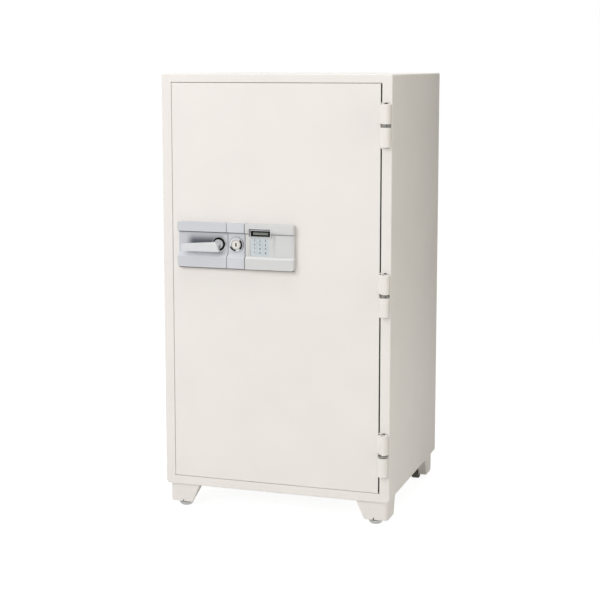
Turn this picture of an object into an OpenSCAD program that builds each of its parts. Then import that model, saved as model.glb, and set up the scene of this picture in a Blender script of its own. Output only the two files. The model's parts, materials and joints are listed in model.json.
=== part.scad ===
// Free-standing fire safe: one stepped door on three barrel hinges, a contoured control
// panel with a lever, a key lock and a keypad, sliding bolt work and four hollow feet.
// Axes: X to the right seen from the front, Y from front to back, Z up from the floor.
// Unless a comment says otherwise, lengths inside body_frame() are measured from the
// cabinet's front face (Y) and underside (Z), because every seat is drawn from those.

/* [Cabinet] */
// Width of the cabinet
body_w = 760; // [740:1:800]
// Height of the cabinet without its feet
body_h = 1345; // [1320:1:1500]
// Depth of the cabinet
body_d = 658; // [600:1:760]
// Height of the cabinet's underside above the floor
base_z = 80; // [78:1:90]
// Thickness of the outer steel sheet
shell_t = 2; // [1.5:0.1:3]
// Corner radius along the lower side edges
corner_low_r = 12; // [6:1:16]
// Corner radius along the upper side edges
corner_top_r = 5; // [3:0.5:8]
// Radius of the rounded front edge
lip_r = 4; // [3:0.5:5]
// Thickness of the insulated side walls
wall_side = 62; // [60:1:70]
// Thickness of the insulated floor and ceiling
wall_end = 60; // [58:1:68]
// Thickness of the insulated back
wall_back = 58; // [50:1:70]
// Thickness of the inner lining sheet
liner_t = 1.5; // [1:0.1:2]

/* [Door frame] */
// Width of the frame beside the door
frame_side = 32; // [31:0.5:36]
// Width of the frame above the door
frame_top = 26; // [26:0.5:30]
// Width of the frame below the door
frame_bottom = 29; // [28:0.5:34]
// Sheet thickness of the folded frame
frame_t = 2.5; // [2:0.1:3]
// Depth from the front face to the step that the door closes on
step_y = 32; // [32:0.5:36]
// Width of that step at the sides
step_side = 25; // [24:0.5:28]
// Width of that step at the top and bottom
step_end = 22; // [21:0.5:26]
// Depth from the front face to the back of the tongue that the bolts hook behind
tongue_y = 75; // [74:0.5:76]
// How far the pocket behind the tongue widens at the sides
pocket_side = 22; // [20:0.5:24]
// How far the pocket behind the tongue widens at the top and bottom
pocket_end = 18; // [14:0.5:19]
// Width of the heat seal strip
seal_w = 12; // [8:0.5:14]
// Clearance between the closed door and the heat seal
seal_gap = 0.4; // [0.3:0.1:1]

/* [Door] */
// Gap beside the door at the lock side
gap_lock = 2.2; // [2.2:0.1:3.5]
// Gap beside the door at the hinge side
gap_hinge = 4.6; // [3:0.1:5]
// Gap above and below the door
gap_end = 2.1; // [2:0.1:4]
// Thickness of the door's front slab
slab_t = 30; // [28:0.5:31]
// Thickness of the door's front plate
skin_t = 3; // [2:0.1:4]
// Thickness of the door's inner sheet
door_liner_t = 2; // [1.5:0.1:2.5]
// Clearance at the lock side of the plug, which swings out past the tongue
plug_swing_gap = 16; // [15:0.5:20]
// Clearance at the other sides of the plug
plug_gap = 4; // [3:0.5:6]
// Depth from the front face to the back of the door's insulation
fill_y = 70; // [68:0.5:72]
// Depth from the front face to the door's back cover
cover_y = 118; // [116:0.5:119]
// Thickness of the back cover
cover_t = 2; // [1.5:0.1:2.5]
// Clearance between the closed door's back cover and the end of the pocket
back_gap = 4; // [3.5:0.5:8]
// Number of screws along each upright edge of the cover
cover_screw_n = 6; // [3:1:8]

/* [Hinges] */
// Radius of the hinge barrels
barrel_r = 16.5; // [14:0.5:17]
// Distance of the hinge axis in from the cabinet's side
hinge_in = 18; // [17.5:0.5:20]
// Distance of the hinge axis in front of the cabinet
hinge_out = 12; // [10:0.5:14]
// Distance of the outer hinges from the cabinet's top and underside
hinge_end = 90; // [80:1:150]
// How far the middle hinge sits below halfway
hinge_drop = 8; // [0:1:40]
// Length of each knuckle
knuckle_h = 61; // [50:1:70]
// Thickness of the washer between the knuckles
washer_t = 10; // [8:0.5:12]
// Radius of the hinge pin
pin_r = 8; // [6:0.5:9]
// Running clearance round the hinge pin
pin_fit = 0.05; // [0.02:0.01:0.1]
// How far the cut-out for a hinge runs past the ends of its barrel
hinge_slot_end = 4.5; // [2:0.5:8]
// Depth of that cut-out behind the front face
hinge_slot_y = 15; // [6:1:20]
// Radius of the rounded corners of the hinge's leaf
leaf_r = 10; // [4:1:12]

/* [Control panel] */
// Distance of the panel in from the door's edge at the lock side
panel_in = 21.8; // [18:0.1:26]
// Width of the lever section
lever_seg_w = 169; // [165:1:172]
// Width of the key lock section
lock_seg_w = 63; // [60:1:66]
// Width of the keypad section
pad_seg_w = 162; // [158:1:180]
// Gap between two sections
seam = 1.2; // [0.8:0.1:2]
// Lower edge of the panel above the cabinet's underside
panel_z = 730; // [700:1:760]
// Height of the panel
panel_h = 145; // [142:1:150]
// Height of the band along the panel's lower edge
band_low = 34; // [30:1:36]
// Height of the band along the panel's upper edge
band_top = 31; // [30:1:36]
// How far the bands stand proud of the door
band_out = 18; // [16:0.5:20]
// How far the hollow between the bands stands proud of the door
valley_out = 3; // [2.5:0.5:4]
// Height of the slope from the lower band into the hollow
valley_slope = 13; // [8:1:16]
// How far the keypad section stands further out than the others
pad_raise = 7; // [5:0.5:8]
// Depth of the keypad section's middle below its bands
pad_recess = 6; // [5:0.5:7]
// Radius of the panel's end corners
panel_r = 8; // [5:0.5:10]
// Radius of the panel's front edges
panel_edge_r = 5; // [3:0.5:6]

/* [Lever] */
// Lever pivot, measured from the panel's left end
lever_in = 139; // [136:1:142]
// Lever pivot above the panel's lower edge
lever_up = 75.5; // [70:0.5:77]
// Length of the lever from its pivot to its tip
lever_len = 119; // [110:1:130]
// How far the lever's lower edge hangs below its pivot
arm_low = 22.5; // [18:0.5:26]
// How far the lever's root stands above its pivot
arm_root_up = 9; // [5:0.5:10]
// How far the upper edge of the lever's tip lies below its pivot
arm_tip_down = 0; // [0:0.5:5]
// Thickness of the lever's arm
arm_t = 12; // [9:0.5:14]
// How far the lever's face stands proud of the door
lever_out = 34; // [33:0.5:38]
// Radius of the lever's hub
hub_r = 13; // [11:0.5:15]
// Outer radius of the chrome rose round the hub
rose_r = 24; // [22:0.5:26]
// Radius of the dark bush inside the rose
bush_r = 19; // [17:0.5:20]
// Radius of the spindle
spindle_r = 8; // [6:0.5:9]

/* [Bolt work] */
// Radius of the bolts
bolt_r = 12; // [10:0.5:13]
// Distance of the first and last bolt from the ends of the plug
bolt_end = 120; // [90:1:150]
// Number of bolts
bolt_n = 4; // [3:1:4]
// Depth of the bolts' centre line from the cabinet's front
bolt_y = 95; // [93:0.5:97]
// Radius of the crank that throws the bolts
crank_r = 34; // [32:0.5:35]
// Angle through which the lever turns
lever_turn = 60; // [50:1:60]
// Radius of the crank pin
crank_pin_r = 5; // [4:0.5:5.5]
// Thickness of the flat steel in the bolt work
bar_t = 6; // [5:0.5:6]
// Clearance between sliding parts of the bolt work
slide_fit = 0.3; // [0.25:0.05:0.5]

/* [Key lock] */
// Key lock's centre, measured from the left edge of its section
lock_in = 28; // [27:0.5:29]
// Radius of the key plug
plug_r = 14; // [12:0.5:15]
// Radius of the lock cylinder's barrel
cyl_r = 17; // [16.5:0.5:18]
// Outer radius of the lock's chrome ring
lock_ring_r = 24; // [22:0.5:26]
// Length of the cam
cam_len = 25; // [24:0.5:26]
// Half the width of the cam
cam_half = 4; // [3:0.5:4.5]

/* [Keypad] */
// Width of one key
key_w = 16; // [12:0.5:16.5]
// Height of one key
key_h = 10.5; // [8:0.5:11]
// Distance from one key column to the next
key_pitch_x = 18.5; // [18:0.5:20]
// Distance from one key row to the next
key_pitch_z = 13; // [12.5:0.1:14]
// Thickness of one key
key_t = 4; // [3:0.5:5]
// Travel of a key
key_travel = 1; // [0.5:0.1:1.2]
// Width of the display window
window_w = 50; // [46:1:54]
// Height of the display window
window_h = 9; // [8:0.5:10]

/* [Feet] */
// Width of a foot where it meets the cabinet
foot_w = 104; // [98:1:112]
// Depth of a foot where it meets the cabinet
foot_d = 100; // [96:1:106]
// Width of a foot at its lower edge
foot_low_w = 76; // [72:1:80]
// Depth of a foot at its lower edge
foot_low_d = 80; // [78:1:86]
// Height of a foot
foot_h = 62; // [60:1:64]
// Wall thickness of a foot
foot_t = 3; // [2.5:0.1:4]
// Distance of a foot in from the cabinet's side
foot_in_x = 9; // [6:0.5:12]
// Distance of a foot in from the cabinet's front and back
foot_in_y = 14; // [10:0.5:18]
// Radius of a foot's outer upright edge
foot_r = 14; // [10:0.5:16]
// Radius of a levelling pad
pad_r = 23; // [20:0.5:24]
// Radius of a levelling stud
stud_r = 6; // [5:0.5:7]
// Radius of a transport roller
roller_r = 25; // [23:0.5:26]
// Width of a transport roller
roller_w = 24; // [20:1:26]
// Radius of a roller's axle
axle_r = 6; // [5:0.5:7]

/* [Shelves] */
// Number of shelves
shelf_n = 3; // [1:1:4]
// Height of the lowest shelf
shelf_z = 360; // [300:1:400]
// Distance from one shelf to the next
shelf_pitch = 300; // [240:1:300]
// Depth of a shelf
shelf_d = 430; // [380:1:440]
// Sheet thickness of a shelf
shelf_t = 1.5; // [1:0.1:2]
// Height of a shelf's folded edge
shelf_edge = 20; // [14:1:26]

/* [Hidden] */
$fn = 48;

// Colours
paint = [0.93, 0.915, 0.895];
steel = [0.7, 0.71, 0.72];
silver = [0.8, 0.81, 0.84];
chrome = [0.88, 0.88, 0.9];
dark = [0.08, 0.08, 0.09];
mineral = [0.78, 0.75, 0.7];
key_tint = [0.8, 0.86, 0.92];

// The origin lies on the floor, under the middle of the box from the lever's face to the back
front_y = -(body_d - lever_out) / 2;
half_w = body_w / 2;
lip_y = lip_r + 0.5;
flange_y = lip_r + 2;
back_t = shell_t;
cavity_y = body_d - wall_back;

// A rectangle seen from the front: left, right, lower and upper limit
function grow(r, dx, dz) = [r[0] - dx, r[1] + dx, r[2] - dz, r[3] + dz];
opening = [-half_w + frame_side, half_w - frame_side, frame_bottom, body_h - frame_top];
jamb = grow(opening, -step_side, -step_end);
pocket = grow(jamb, pocket_side, pocket_end);
cavity = [-half_w + wall_side, half_w - wall_side, wall_end, body_h - wall_end];
pocket_y = cover_y + cover_t + back_gap;
door = [opening[0] + gap_lock, opening[1] - gap_hinge, opening[2] + gap_end, opening[3] - gap_end];
plug = [jamb[0] + plug_swing_gap, jamb[1] - plug_gap, jamb[2] + plug_gap, jamb[3] - plug_gap];
plug_in = grow(plug, -door_liner_t, -door_liner_t);
skin_in = grow(door, -skin_t, -skin_t);
flange_w = 12;

// Hinges
hinge_x = half_w - hinge_in;
hinge_y = -hinge_out;
hinge_h = 2 * knuckle_h + washer_t;
hinge_top = body_h - hinge_end - hinge_h;
hinge_z = [hinge_end, (hinge_end + hinge_top) / 2 - hinge_drop, hinge_top];
barrel_edge = 2.5;
scallop_fit = 0.5;
root_half = 9;
leaf_in = 8;
leaf_lift = 0.6;
groove_h = 2.5;
groove_in = 5;

// Control panel
panel_left = door[0] + panel_in;
lock_seg_x = panel_left + lever_seg_w;
pad_seg_x = lock_seg_x + lock_seg_w;
panel_top = panel_z + panel_h;
panel_right = pad_seg_x + pad_seg_w;
pad_band = band_out + pad_raise;
pad_mid = pad_band - pad_recess;
lever_x = panel_left + lever_in;
lever_z = panel_z + lever_up;
lock_x = lock_seg_x + lock_in;

// Lever and bolt work. The arm's corners are given across and up from the pivot.
arm_r = 5;
arm_past = 10;
arm_past_top = 4;
arm_corners = [[arm_r - lever_len, -arm_tip_down - arm_r], [arm_r - lever_len, arm_r - arm_low],
    [arm_past_top - arm_r, arm_root_up - arm_r], [arm_past - arm_r, arm_r - arm_low]];
rose_t = 6;
hub_back = valley_out + rose_t + slide_fit;
plate_y = fill_y + door_liner_t;
tail_y = 84;
bolt_rest = 0.5;
bolt_pitch = (plug[3] - plug[2] - 2 * bolt_end) / (bolt_n - 1);
bolt_zs = [for (i = [0:bolt_n - 1]) plug[2] + bolt_end + i * bolt_pitch];
bar_over = 30;
bar_depth = 30;
dog_gap = 7;
dog_t = 20;
dog_h = 60;
bush_tube_r = spindle_r + 3;
screw_r = 2.5;
screw_end = 40;
bar_in = 39;
bar_x = plug[0] + bar_in;
tail_z = lever_z + 13.5;
tail_h = 45;
throw = 2 * crank_r * sin(lever_turn / 2);
crank_start = 90 - lever_turn / 2;
crank_y = tail_y + bar_t + 1;
crank_x = lever_x + crank_r * cos(crank_start);
crank_z = lever_z + crank_r * sin(crank_start);
pin_slot_fit = 0.8;
guide_r = 5;
guide_x = bar_x + 18;
guide_z = [bolt_zs[0] + 0.4 * bolt_pitch, bolt_zs[bolt_n - 1] - 0.4 * bolt_pitch];

// Key lock
cyl_back = 18;
shaft_r = 6;
case_t = 10;
cam_tip = sqrt(cam_len * cam_len + cam_half * cam_half);
notch_fit = 1.5;
notch_top = lever_z + cam_len + 4;
notch_in = 3.8;
latch_x = lock_x + 30;
tail_end = latch_x + throw + 16;
latch_r = 4;
latch_drop = 10;
latch_up = 6;
coil_z = tail_z + tail_h + 20;
coil_h = 50;
coil_half = 20;

// Keypad
key_fit = 0.3;
key_proud = 1.5;
key_x0 = pad_seg_x + 2 * key_w;
key_up = 54;
key_z0 = panel_z + key_up;
key_z1 = key_z0 + 3 * key_pitch_z;
surround_side = 4;
surround_low = 6.5;
surround_top = 1.5;
surround = [key_x0 - key_w / 2 - surround_side, key_x0 + 2 * key_pitch_x + key_w / 2 + surround_side,
    key_z0 - key_h / 2 - surround_low, key_z1 + key_h / 2 + surround_top];
surround_t = 1.5;
window_x = key_x0 - 4;
window_z = key_z1 + 17.5;
window = [window_x, window_x + window_w, window_z, window_z + window_h];
bezel_side = 7.3;
bezel_low = 4.5;
bezel_top = 3;
bezel = [window[0] - bezel_side, window[1] + bezel_side, window[2] - bezel_low, window[3] + bezel_top];
hood_side = 6.5;
hood_end = 4.5;
hood_low = 1.5;
hood_top = 8.5;
hood = [bezel[0] - hood_side, bezel[1] + hood_end, bezel[2] - hood_low, bezel[3] + hood_top];
hood_out = pad_band + 2;
bezel_t = 2;
window_t = 1.5;
bezel_out = hood_out - 5;
cover_plate_t = 2;
cover_fit = 0.4;
board_t = 1.6;
board_out = 13;
cover_in = 19;
cover_box = [surround[1] + cover_in, panel_right - 5, panel_z + band_low + 8, panel_top - band_top - 3];

// Feet
foot_plate = 4;
pad_x = 45;
pad_y = 28;
pad_floor_r = 10;
roller_x = 41;
roller_y = 64;
roller_gap = 1;
cheek_t = 4;
pad_h = 15;
nut_h = 8;
bevel_top = 35;
bevel_low = 5;
boss_r = 14;
boss_h = 30;
notch_half = 2.5;
notch_h = 7;
bead_r = 3;
bead_half = 24;
bead_out = 2;
bolt_hole_r = 5.5;
cheek_fore = 14;
cheek_aft = 12;
foot_bolt_xy = [[foot_w - 20, foot_d - 40], [14, foot_d - 14]];

// Shelves
shelf_back = cavity_y - 10;
shelf_gap = 2;
clip_w = 20;
clip_out = 12;
clip_in = 60;

// ---- Helpers -------------------------------------------------------------------------

// Points of a circular arc
function arc(cx, cy, r, a0, a1, n = 8) =
    [for (i = [0:n]) [cx + r * cos(a0 + (a1 - a0) * i / n), cy + r * sin(a0 + (a1 - a0) * i / n)]];

// Everything in the cabinet's own measures is set on its feet here
module body_frame() translate([0, front_y, base_z]) children();

module box(x0, x1, y0, y1, z0, z1) translate([x0, y0, z0]) cube([x1 - x0, y1 - y0, z1 - z0]);

// A block over a rectangle seen from the front
module slab(r, y0, y1) box(r[0], r[1], y0, y1, r[2], r[3]);

// A four-sided ring between two such rectangles
module ring(outer, inner, y0, y1) difference() {
    slab(outer, y0, y1);
    slab(inner, y0 - 1, y1 + 1);
}

module x_cyl(r, x0, x1, y, z) translate([x0, y, z]) rotate([0, 90, 0]) cylinder(r = r, h = x1 - x0);
module y_cyl(r, y0, y1, x, z) translate([x, y1, z]) rotate([90, 0, 0]) cylinder(r = r, h = y1 - y0);
module z_cyl(r, z0, z1, x, y) translate([x, y, z0]) cylinder(r = r, h = z1 - z0);

// A plate whose outline is given in X and Z
module front_plate(points, y0, y1)
    translate([0, y1, 0]) rotate([90, 0, 0]) linear_extrude(y1 - y0) polygon(points);

// The cabinet's outline from the front, drawn in by t
function outline(t) = concat(
    arc(-half_w + corner_low_r, corner_low_r, corner_low_r - t, 180, 270),
    arc(half_w - corner_low_r, corner_low_r, corner_low_r - t, 270, 360),
    arc(half_w - corner_top_r, body_h - corner_top_r, corner_top_r - t, 0, 90, 5),
    arc(-half_w + corner_top_r, body_h - corner_top_r, corner_top_r - t, 90, 180, 5));

// ---- Cabinet -------------------------------------------------------------------------

module outer_shell() color(paint) body_frame() difference() {
    front_plate(outline(0), lip_y, body_d - back_t);
    front_plate(outline(shell_t), 0, body_d);
    foot_bolt_holes();
}

module back_plate() color(paint) body_frame() front_plate(outline(0), body_d - back_t, body_d);

module cabinet_fill() color(mineral) body_frame() difference() {
    front_plate(outline(shell_t), flange_y, body_d - back_t);
    slab(grow(opening, frame_t, frame_t), 0, step_y + frame_t);
    slab(grow(jamb, frame_t, frame_t), 0, tongue_y);
    slab(grow(pocket, frame_t, frame_t), tongue_y - frame_t, pocket_y + frame_t);
    slab(grow(cavity, liner_t, liner_t), pocket_y, cavity_y + liner_t);
    hinge_slots();
    foot_bolt_holes();
}

// Folded frame: rounded front flange, step, tongue and the pocket behind it
module door_frame() color(paint) body_frame() difference() {
    union() {
        difference() {
            union() {
                hull() for (a = [0, 30, 60, 90])
                    front_plate(outline(lip_r * (1 - sin(a))), lip_r * (1 - cos(a)), lip_y);
                front_plate(outline(shell_t), lip_r, flange_y);
            }
            slab(opening, -1, flange_y + 1);
        }
        ring(grow(opening, frame_t, frame_t), opening, flange_y, step_y + frame_t);
        ring(opening, jamb, step_y, step_y + frame_t);
        ring(grow(jamb, frame_t, frame_t), jamb, step_y + frame_t, tongue_y);
        ring(grow(pocket, frame_t, frame_t), jamb, tongue_y - frame_t, tongue_y);
        ring(grow(pocket, frame_t, frame_t), pocket, tongue_y, pocket_y);
        ring(grow(pocket, frame_t, frame_t), cavity, pocket_y, pocket_y + frame_t);
    }
    hinge_slots();
}

// Cut-outs in the frame that the hinge barrels sit in
module hinge_slots() for (z = hinge_z) {
    half = sqrt(pow(barrel_r + scallop_fit, 2) - pow(hinge_y, 2));
    box(hinge_x - half, hinge_x + half, -1, hinge_slot_y, z - hinge_slot_end, z + hinge_h + hinge_slot_end);
}

// Strip on the step that swells in a fire and fills the gap round the door
module heat_seal() color(dark) body_frame()
    ring(grow(jamb, seal_w + 4, seal_w + 4), grow(jamb, 4, 4), slab_t + seal_gap, step_y);

module inner_liner() color(paint) body_frame() {
    ring(grow(cavity, liner_t, liner_t), cavity, pocket_y + frame_t, cavity_y);
    slab(grow(cavity, liner_t, liner_t), cavity_y, cavity_y + liner_t);
}

// ---- Shelves -------------------------------------------------------------------------

module each_shelf() for (i = [0:shelf_n - 1]) translate([0, 0, shelf_z + i * shelf_pitch]) children();

module shelves() color(paint) body_frame() each_shelf() {
    x1 = cavity[1] - shelf_gap;
    y0 = shelf_back - shelf_d;
    box(-x1, x1, y0, shelf_back, -shelf_t, 0);
    box(-x1, x1, y0, y0 + shelf_t, -shelf_edge, -shelf_t);
    box(-x1, x1, shelf_back - shelf_t, shelf_back, -shelf_edge, -shelf_t);
}

// Angle clips hooked into the side walls, two at each end of a shelf
module shelf_clips() color(steel) body_frame() each_shelf()
    for (s = [0, 1], y = [shelf_back - shelf_d + clip_in, shelf_back - clip_in]) mirror([s, 0, 0]) {
        box(cavity[1] - clip_out, cavity[1], y - clip_w / 2, y + clip_w / 2, -shelf_t - 3, -shelf_t);
        box(cavity[1] - 2, cavity[1], y - clip_w / 2, y + clip_w / 2, -18, -shelf_t - 3);
    }

// ---- Hinges --------------------------------------------------------------------------

// One hinge barrel with rounded rims and a bore for the pin
module barrel(h) rotate_extrude() polygon(concat(
    arc(barrel_r - barrel_edge, barrel_edge, barrel_edge, 270, 360, 5),
    arc(barrel_r - barrel_edge, h - barrel_edge, barrel_edge, 0, 90, 5),
    [[pin_r + pin_fit, h], [pin_r + pin_fit, 0]]));

module hinge_pins() color(steel) body_frame()
    for (z = hinge_z) z_cyl(pin_r, z + 4, z + hinge_h - 4, hinge_x, hinge_y);

// Bright ring between two dark grooves, so that the knuckles don't rub
module hinge_washers() color(steel) body_frame() for (z = hinge_z)
    translate([hinge_x, hinge_y, z + knuckle_h]) rotate_extrude() polygon([
        [pin_r + pin_fit, 0], [barrel_r - groove_in, 0], [barrel_r - groove_in, groove_h],
        [barrel_r - 1, groove_h], [barrel_r - 1, washer_t - groove_h],
        [barrel_r - groove_in, washer_t - groove_h], [barrel_r - groove_in, washer_t - slide_fit],
        [pin_r + pin_fit, washer_t - slide_fit]]);

// Knuckles on the cabinet, each with a root that is welded in at the end of its cut-out
module lower_knuckles() color(paint) body_frame() for (z = hinge_z) translate([0, 0, z]) {
    translate([hinge_x, hinge_y, 0]) barrel(knuckle_h);
    difference() {
        box(hinge_x - root_half, hinge_x + root_half, hinge_y, hinge_slot_y,
            barrel_edge, knuckle_h - barrel_edge);
        z_cyl(barrel_r - 2, -1, knuckle_h + 1, hinge_x, hinge_y);
    }
}

// Leaf of an upper knuckle, rounded where it ends on the door
module leaf(x1, y0, y1) front_plate(concat([[x1, barrel_edge], [x1, knuckle_h - barrel_edge]],
    arc(door[1] - leaf_in + 4, knuckle_h - barrel_edge - 4, 4, 90, 180, 5),
    arc(door[1] - leaf_in + leaf_r, barrel_edge + leaf_r, leaf_r, 180, 270)), y0, y1);

// Knuckles on the door, each with a leaf that reaches over the gap
module upper_knuckles() color(paint) body_frame()
    for (z = hinge_z) translate([0, 0, z + knuckle_h + washer_t]) {
        translate([hinge_x, hinge_y, 0]) barrel(knuckle_h);
        difference() {
            union() {
                leaf(hinge_x, hinge_y - 2, -leaf_lift);
                leaf(door[1] - 0.5, -leaf_lift - 1, 0);
            }
            z_cyl(barrel_r - 2, -1, knuckle_h + 1, hinge_x, hinge_y);
        }
    }

// ---- Feet ----------------------------------------------------------------------------

// Sets a foot's own measures (inwards, back, up) at one corner
module foot_place(right, rear)
    mirror([right, 0, 0]) translate([-half_w + foot_in_x, rear ? body_d - foot_in_y : foot_in_y, 0])
        mirror([0, rear, 0]) children();

// Plan of a foot at height z, drawn in by t: rounded outside, bevelled inside. Where it is
// open, the plan runs on past the foot's inner side and back.
function foot_plan(z, t, open) =
    let (k = -z / foot_h, w = foot_w + (foot_low_w - foot_w) * k, d = foot_d + (foot_low_d - foot_d) * k,
         flat = foot_low_w - bevel_low, bevel_y = bevel_top + (bevel_low - bevel_top) * k,
         past = w + 1, past_y = t + bevel_y * (past - flat + t / 2) / (w - flat))
    concat([[t, open ? foot_d + 1 : d - t]], arc(foot_r, foot_r, foot_r - t, 180, 270), [[flat - t / 2, t]],
        open ? [[past, past_y], [past, foot_d + 1]] : [[w - t, bevel_y + t / 2], [w - t, d - t]]);

module foot_form(z0, z1, t, open) hull() {
    translate([0, 0, z0]) linear_extrude(0.5) polygon(foot_plan(z0, t, open));
    translate([0, 0, z1 - 0.5]) linear_extrude(0.5) polygon(foot_plan(z1, t, open));
}

module foot_bolt_holes() for (right = [0, 1], rear = [0, 1], p = foot_bolt_xy)
    foot_place(right, rear) z_cyl(bolt_hole_r, -foot_plate - 1, 12, p[0], p[1]);

module foot_shell(open) difference() {
    foot_form(-foot_h, 0, 0, false);
    foot_form(-foot_h - 2, -foot_plate, foot_t, open);
}

// A front foot is a folded skirt, open at the back and inner side. It has a notch between
// two beads in front of the levelling stud, which turns in a threaded boss.
module front_foot(right) color(paint) body_frame() foot_place(right, 0) difference() {
    union() {
        foot_shell(true);
        z_cyl(boss_r, -foot_plate - boss_h, -foot_plate, pad_x, pad_y);
        x_cyl(bead_r, pad_x - bead_half, pad_x + bead_half, bead_r - bead_out, -foot_h + bead_r, $fn = 24);
    }
    box(pad_x - notch_half, pad_x + notch_half, -bead_out - 1, 2 * bead_r, -foot_h - 1, -foot_h + notch_h);
    z_cyl(stud_r + pin_fit, -foot_plate - boss_h - 1, -foot_plate, pad_x, pad_y);
    for (p = foot_bolt_xy) z_cyl(bolt_hole_r, -foot_plate - 1, 1, p[0], p[1]);
}

// A rear foot is open towards the front and carries a roller between two cheeks
module rear_foot(right) color(paint) body_frame() foot_place(right, 1) difference() {
    union() {
        foot_shell(false);
        for (s = [-1, 1]) translate([roller_x + s * (roller_w / 2 + roller_gap + cheek_t / 2), 0, 0])
            box(-cheek_t / 2, cheek_t / 2, roller_y - cheek_fore, roller_y + cheek_aft,
                -foot_h - 4, -foot_plate);
    }
    box(roller_x - roller_w / 2 - roller_gap, roller_x + roller_w / 2 + roller_gap,
        roller_y - roller_r - 4, foot_d + 1, -foot_h - 5, -foot_plate);
    x_cyl(axle_r + pin_fit, roller_x - roller_w, roller_x + roller_w, roller_y, -base_z + roller_r);
    for (p = foot_bolt_xy) z_cyl(bolt_hole_r, -foot_plate - 1, 1, p[0], p[1]);
}

module foot_bolts() color(steel) body_frame()
    for (right = [0, 1], rear = [0, 1], p = foot_bolt_xy) foot_place(right, rear) {
        z_cyl(bolt_hole_r + 1.5, -foot_plate - 5, -foot_plate, p[0], p[1]);
        z_cyl(bolt_hole_r - 0.5, -foot_plate, 10, p[0], p[1]);
    }

module roller_axles() color(steel) body_frame() for (right = [0, 1]) foot_place(right, 1) {
    reach = roller_w / 2 + roller_gap + cheek_t;
    x_cyl(axle_r, roller_x - reach, roller_x + reach, roller_y, -base_z + roller_r);
    for (s = [0, 1]) translate([roller_x, 0, 0]) mirror([s, 0, 0])
        x_cyl(axle_r + 2, reach, reach + 2, roller_y, -base_z + roller_r);
}

module roller(right) color(dark) body_frame() foot_place(right, 1)
    translate([roller_x, roller_y, -base_z + roller_r]) rotate([0, 90, 0]) rotate_extrude($fn = 64)
        polygon([[axle_r + pin_fit, -roller_w / 2], [axle_r + 5, -roller_w / 2],
            [axle_r + 5, -roller_w / 2 + 2], [roller_r - 4, -roller_w / 2 + 2],
            [roller_r - 3, -roller_w / 2], [roller_r - 1, -roller_w / 2], [roller_r, -roller_w / 2 + 2],
            [roller_r, roller_w / 2 - 2], [roller_r - 1, roller_w / 2], [roller_r - 3, roller_w / 2],
            [roller_r - 4, roller_w / 2 - 2], [axle_r + 5, roller_w / 2 - 2],
            [axle_r + 5, roller_w / 2], [axle_r + pin_fit, roller_w / 2]]);

// Levelling foot: domed pad, hexagon for a spanner and threaded stud in one
module leveller(right) color(steel) body_frame() foot_place(right, 0) translate([pad_x, pad_y, -base_z]) {
    dome_r = pad_r - pad_floor_r;
    rotate_extrude() polygon(concat([[0, 0]], arc(pad_floor_r, dome_r, dome_r, 270, 360),
        [[pad_r, pad_h - 1], [pad_r - 1, pad_h], [0, pad_h]]));
    translate([0, 0, pad_h]) cylinder(r = stud_r + 4, h = nut_h, $fn = 6);
    cylinder(r = stud_r, h = base_z - 14);
}

// ---- Door ----------------------------------------------------------------------------

// Holes through the door for the lever's bush and the lock's barrel
module front_holes(y0, y1) {
    y_cyl(bush_tube_r + slide_fit, y0, y1, lever_x, lever_z);
    y_cyl(cyl_r + slide_fit, y0, y1, lock_x, lever_z);
}

module door_skin() color(paint) body_frame() difference() {
    slab(door, 0, slab_t - door_liner_t);
    slab(skin_in, skin_t, slab_t);
    front_holes(-1, skin_t + 1);
}

module door_fill() color(mineral) body_frame() difference() {
    union() {
        slab(skin_in, skin_t, slab_t - door_liner_t);
        slab(plug_in, slab_t - door_liner_t, fill_y);
    }
    front_holes(0, cyl_back + 3);
    y_cyl(spindle_r + 2, 0, fill_y + 1, lever_x, lever_z);
    y_cyl(shaft_r + 2, 0, fill_y + 1, lock_x, lever_z);
}

// Inner sheet: flange behind the slab, walls round the plug, plate before the bolt work
module door_liner() color(paint) body_frame() difference() {
    union() {
        ring(door, plug_in, slab_t - door_liner_t, slab_t);
        ring(plug, plug_in, slab_t, cover_y);
        ring(plug_in, grow(plug_in, -flange_w, -flange_w), cover_y - door_liner_t, cover_y);
        slab(plug_in, fill_y, plate_y);
        for (z = guide_z) {
            y_cyl(guide_r, plate_y, tail_y + bar_t + slide_fit, guide_x, z);
            y_cyl(guide_r + 3, tail_y + bar_t + slide_fit, tail_y + bar_t + 4, guide_x, z);
        }
    }
    for (z = bolt_zs) x_cyl(bolt_r + slide_fit, plug[0] - 1, plug_in[0] + 1, bolt_y, z);
    y_cyl(spindle_r + pin_fit, fill_y - 1, plate_y + 1, lever_x, lever_z);
    y_cyl(shaft_r + slide_fit, fill_y - 1, plate_y + 1, lock_x, lever_z);
    cover_screw_places() y_cyl(screw_r + 0.1, cover_y - door_liner_t - 1, cover_y + 1, 0, 0);
}

module cover_screw_places() {
    pitch = (plug_in[3] - plug_in[2] - 2 * screw_end) / (cover_screw_n - 1);
    for (x = [plug_in[0] + flange_w / 2, plug_in[1] - flange_w / 2], i = [0:cover_screw_n - 1])
        translate([x, 0, plug_in[2] + screw_end + i * pitch]) children();
}

module back_cover() color(paint) body_frame() difference() {
    slab(plug, cover_y, cover_y + cover_t);
    cover_screw_places() y_cyl(screw_r + 0.1, cover_y - 1, cover_y + cover_t + 1, 0, 0);
}

module cover_screws() color(steel) body_frame() cover_screw_places() {
    y_cyl(screw_r, cover_y - 6, cover_y + cover_t, 0, 0);
    y_cyl(2 * screw_r, cover_y + cover_t, cover_y + cover_t + 2.4, 0, 0);
}

// Bars that hook behind the tongue at the hinge side
module fixed_dogs() color(steel) body_frame() for (z = bolt_zs)
    box(plug[1], pocket[1] - dog_gap, bolt_y - dog_t / 2, bolt_y + dog_t / 2, z - dog_h / 2, z + dog_h / 2);

// ---- Control panel -------------------------------------------------------------------

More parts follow.
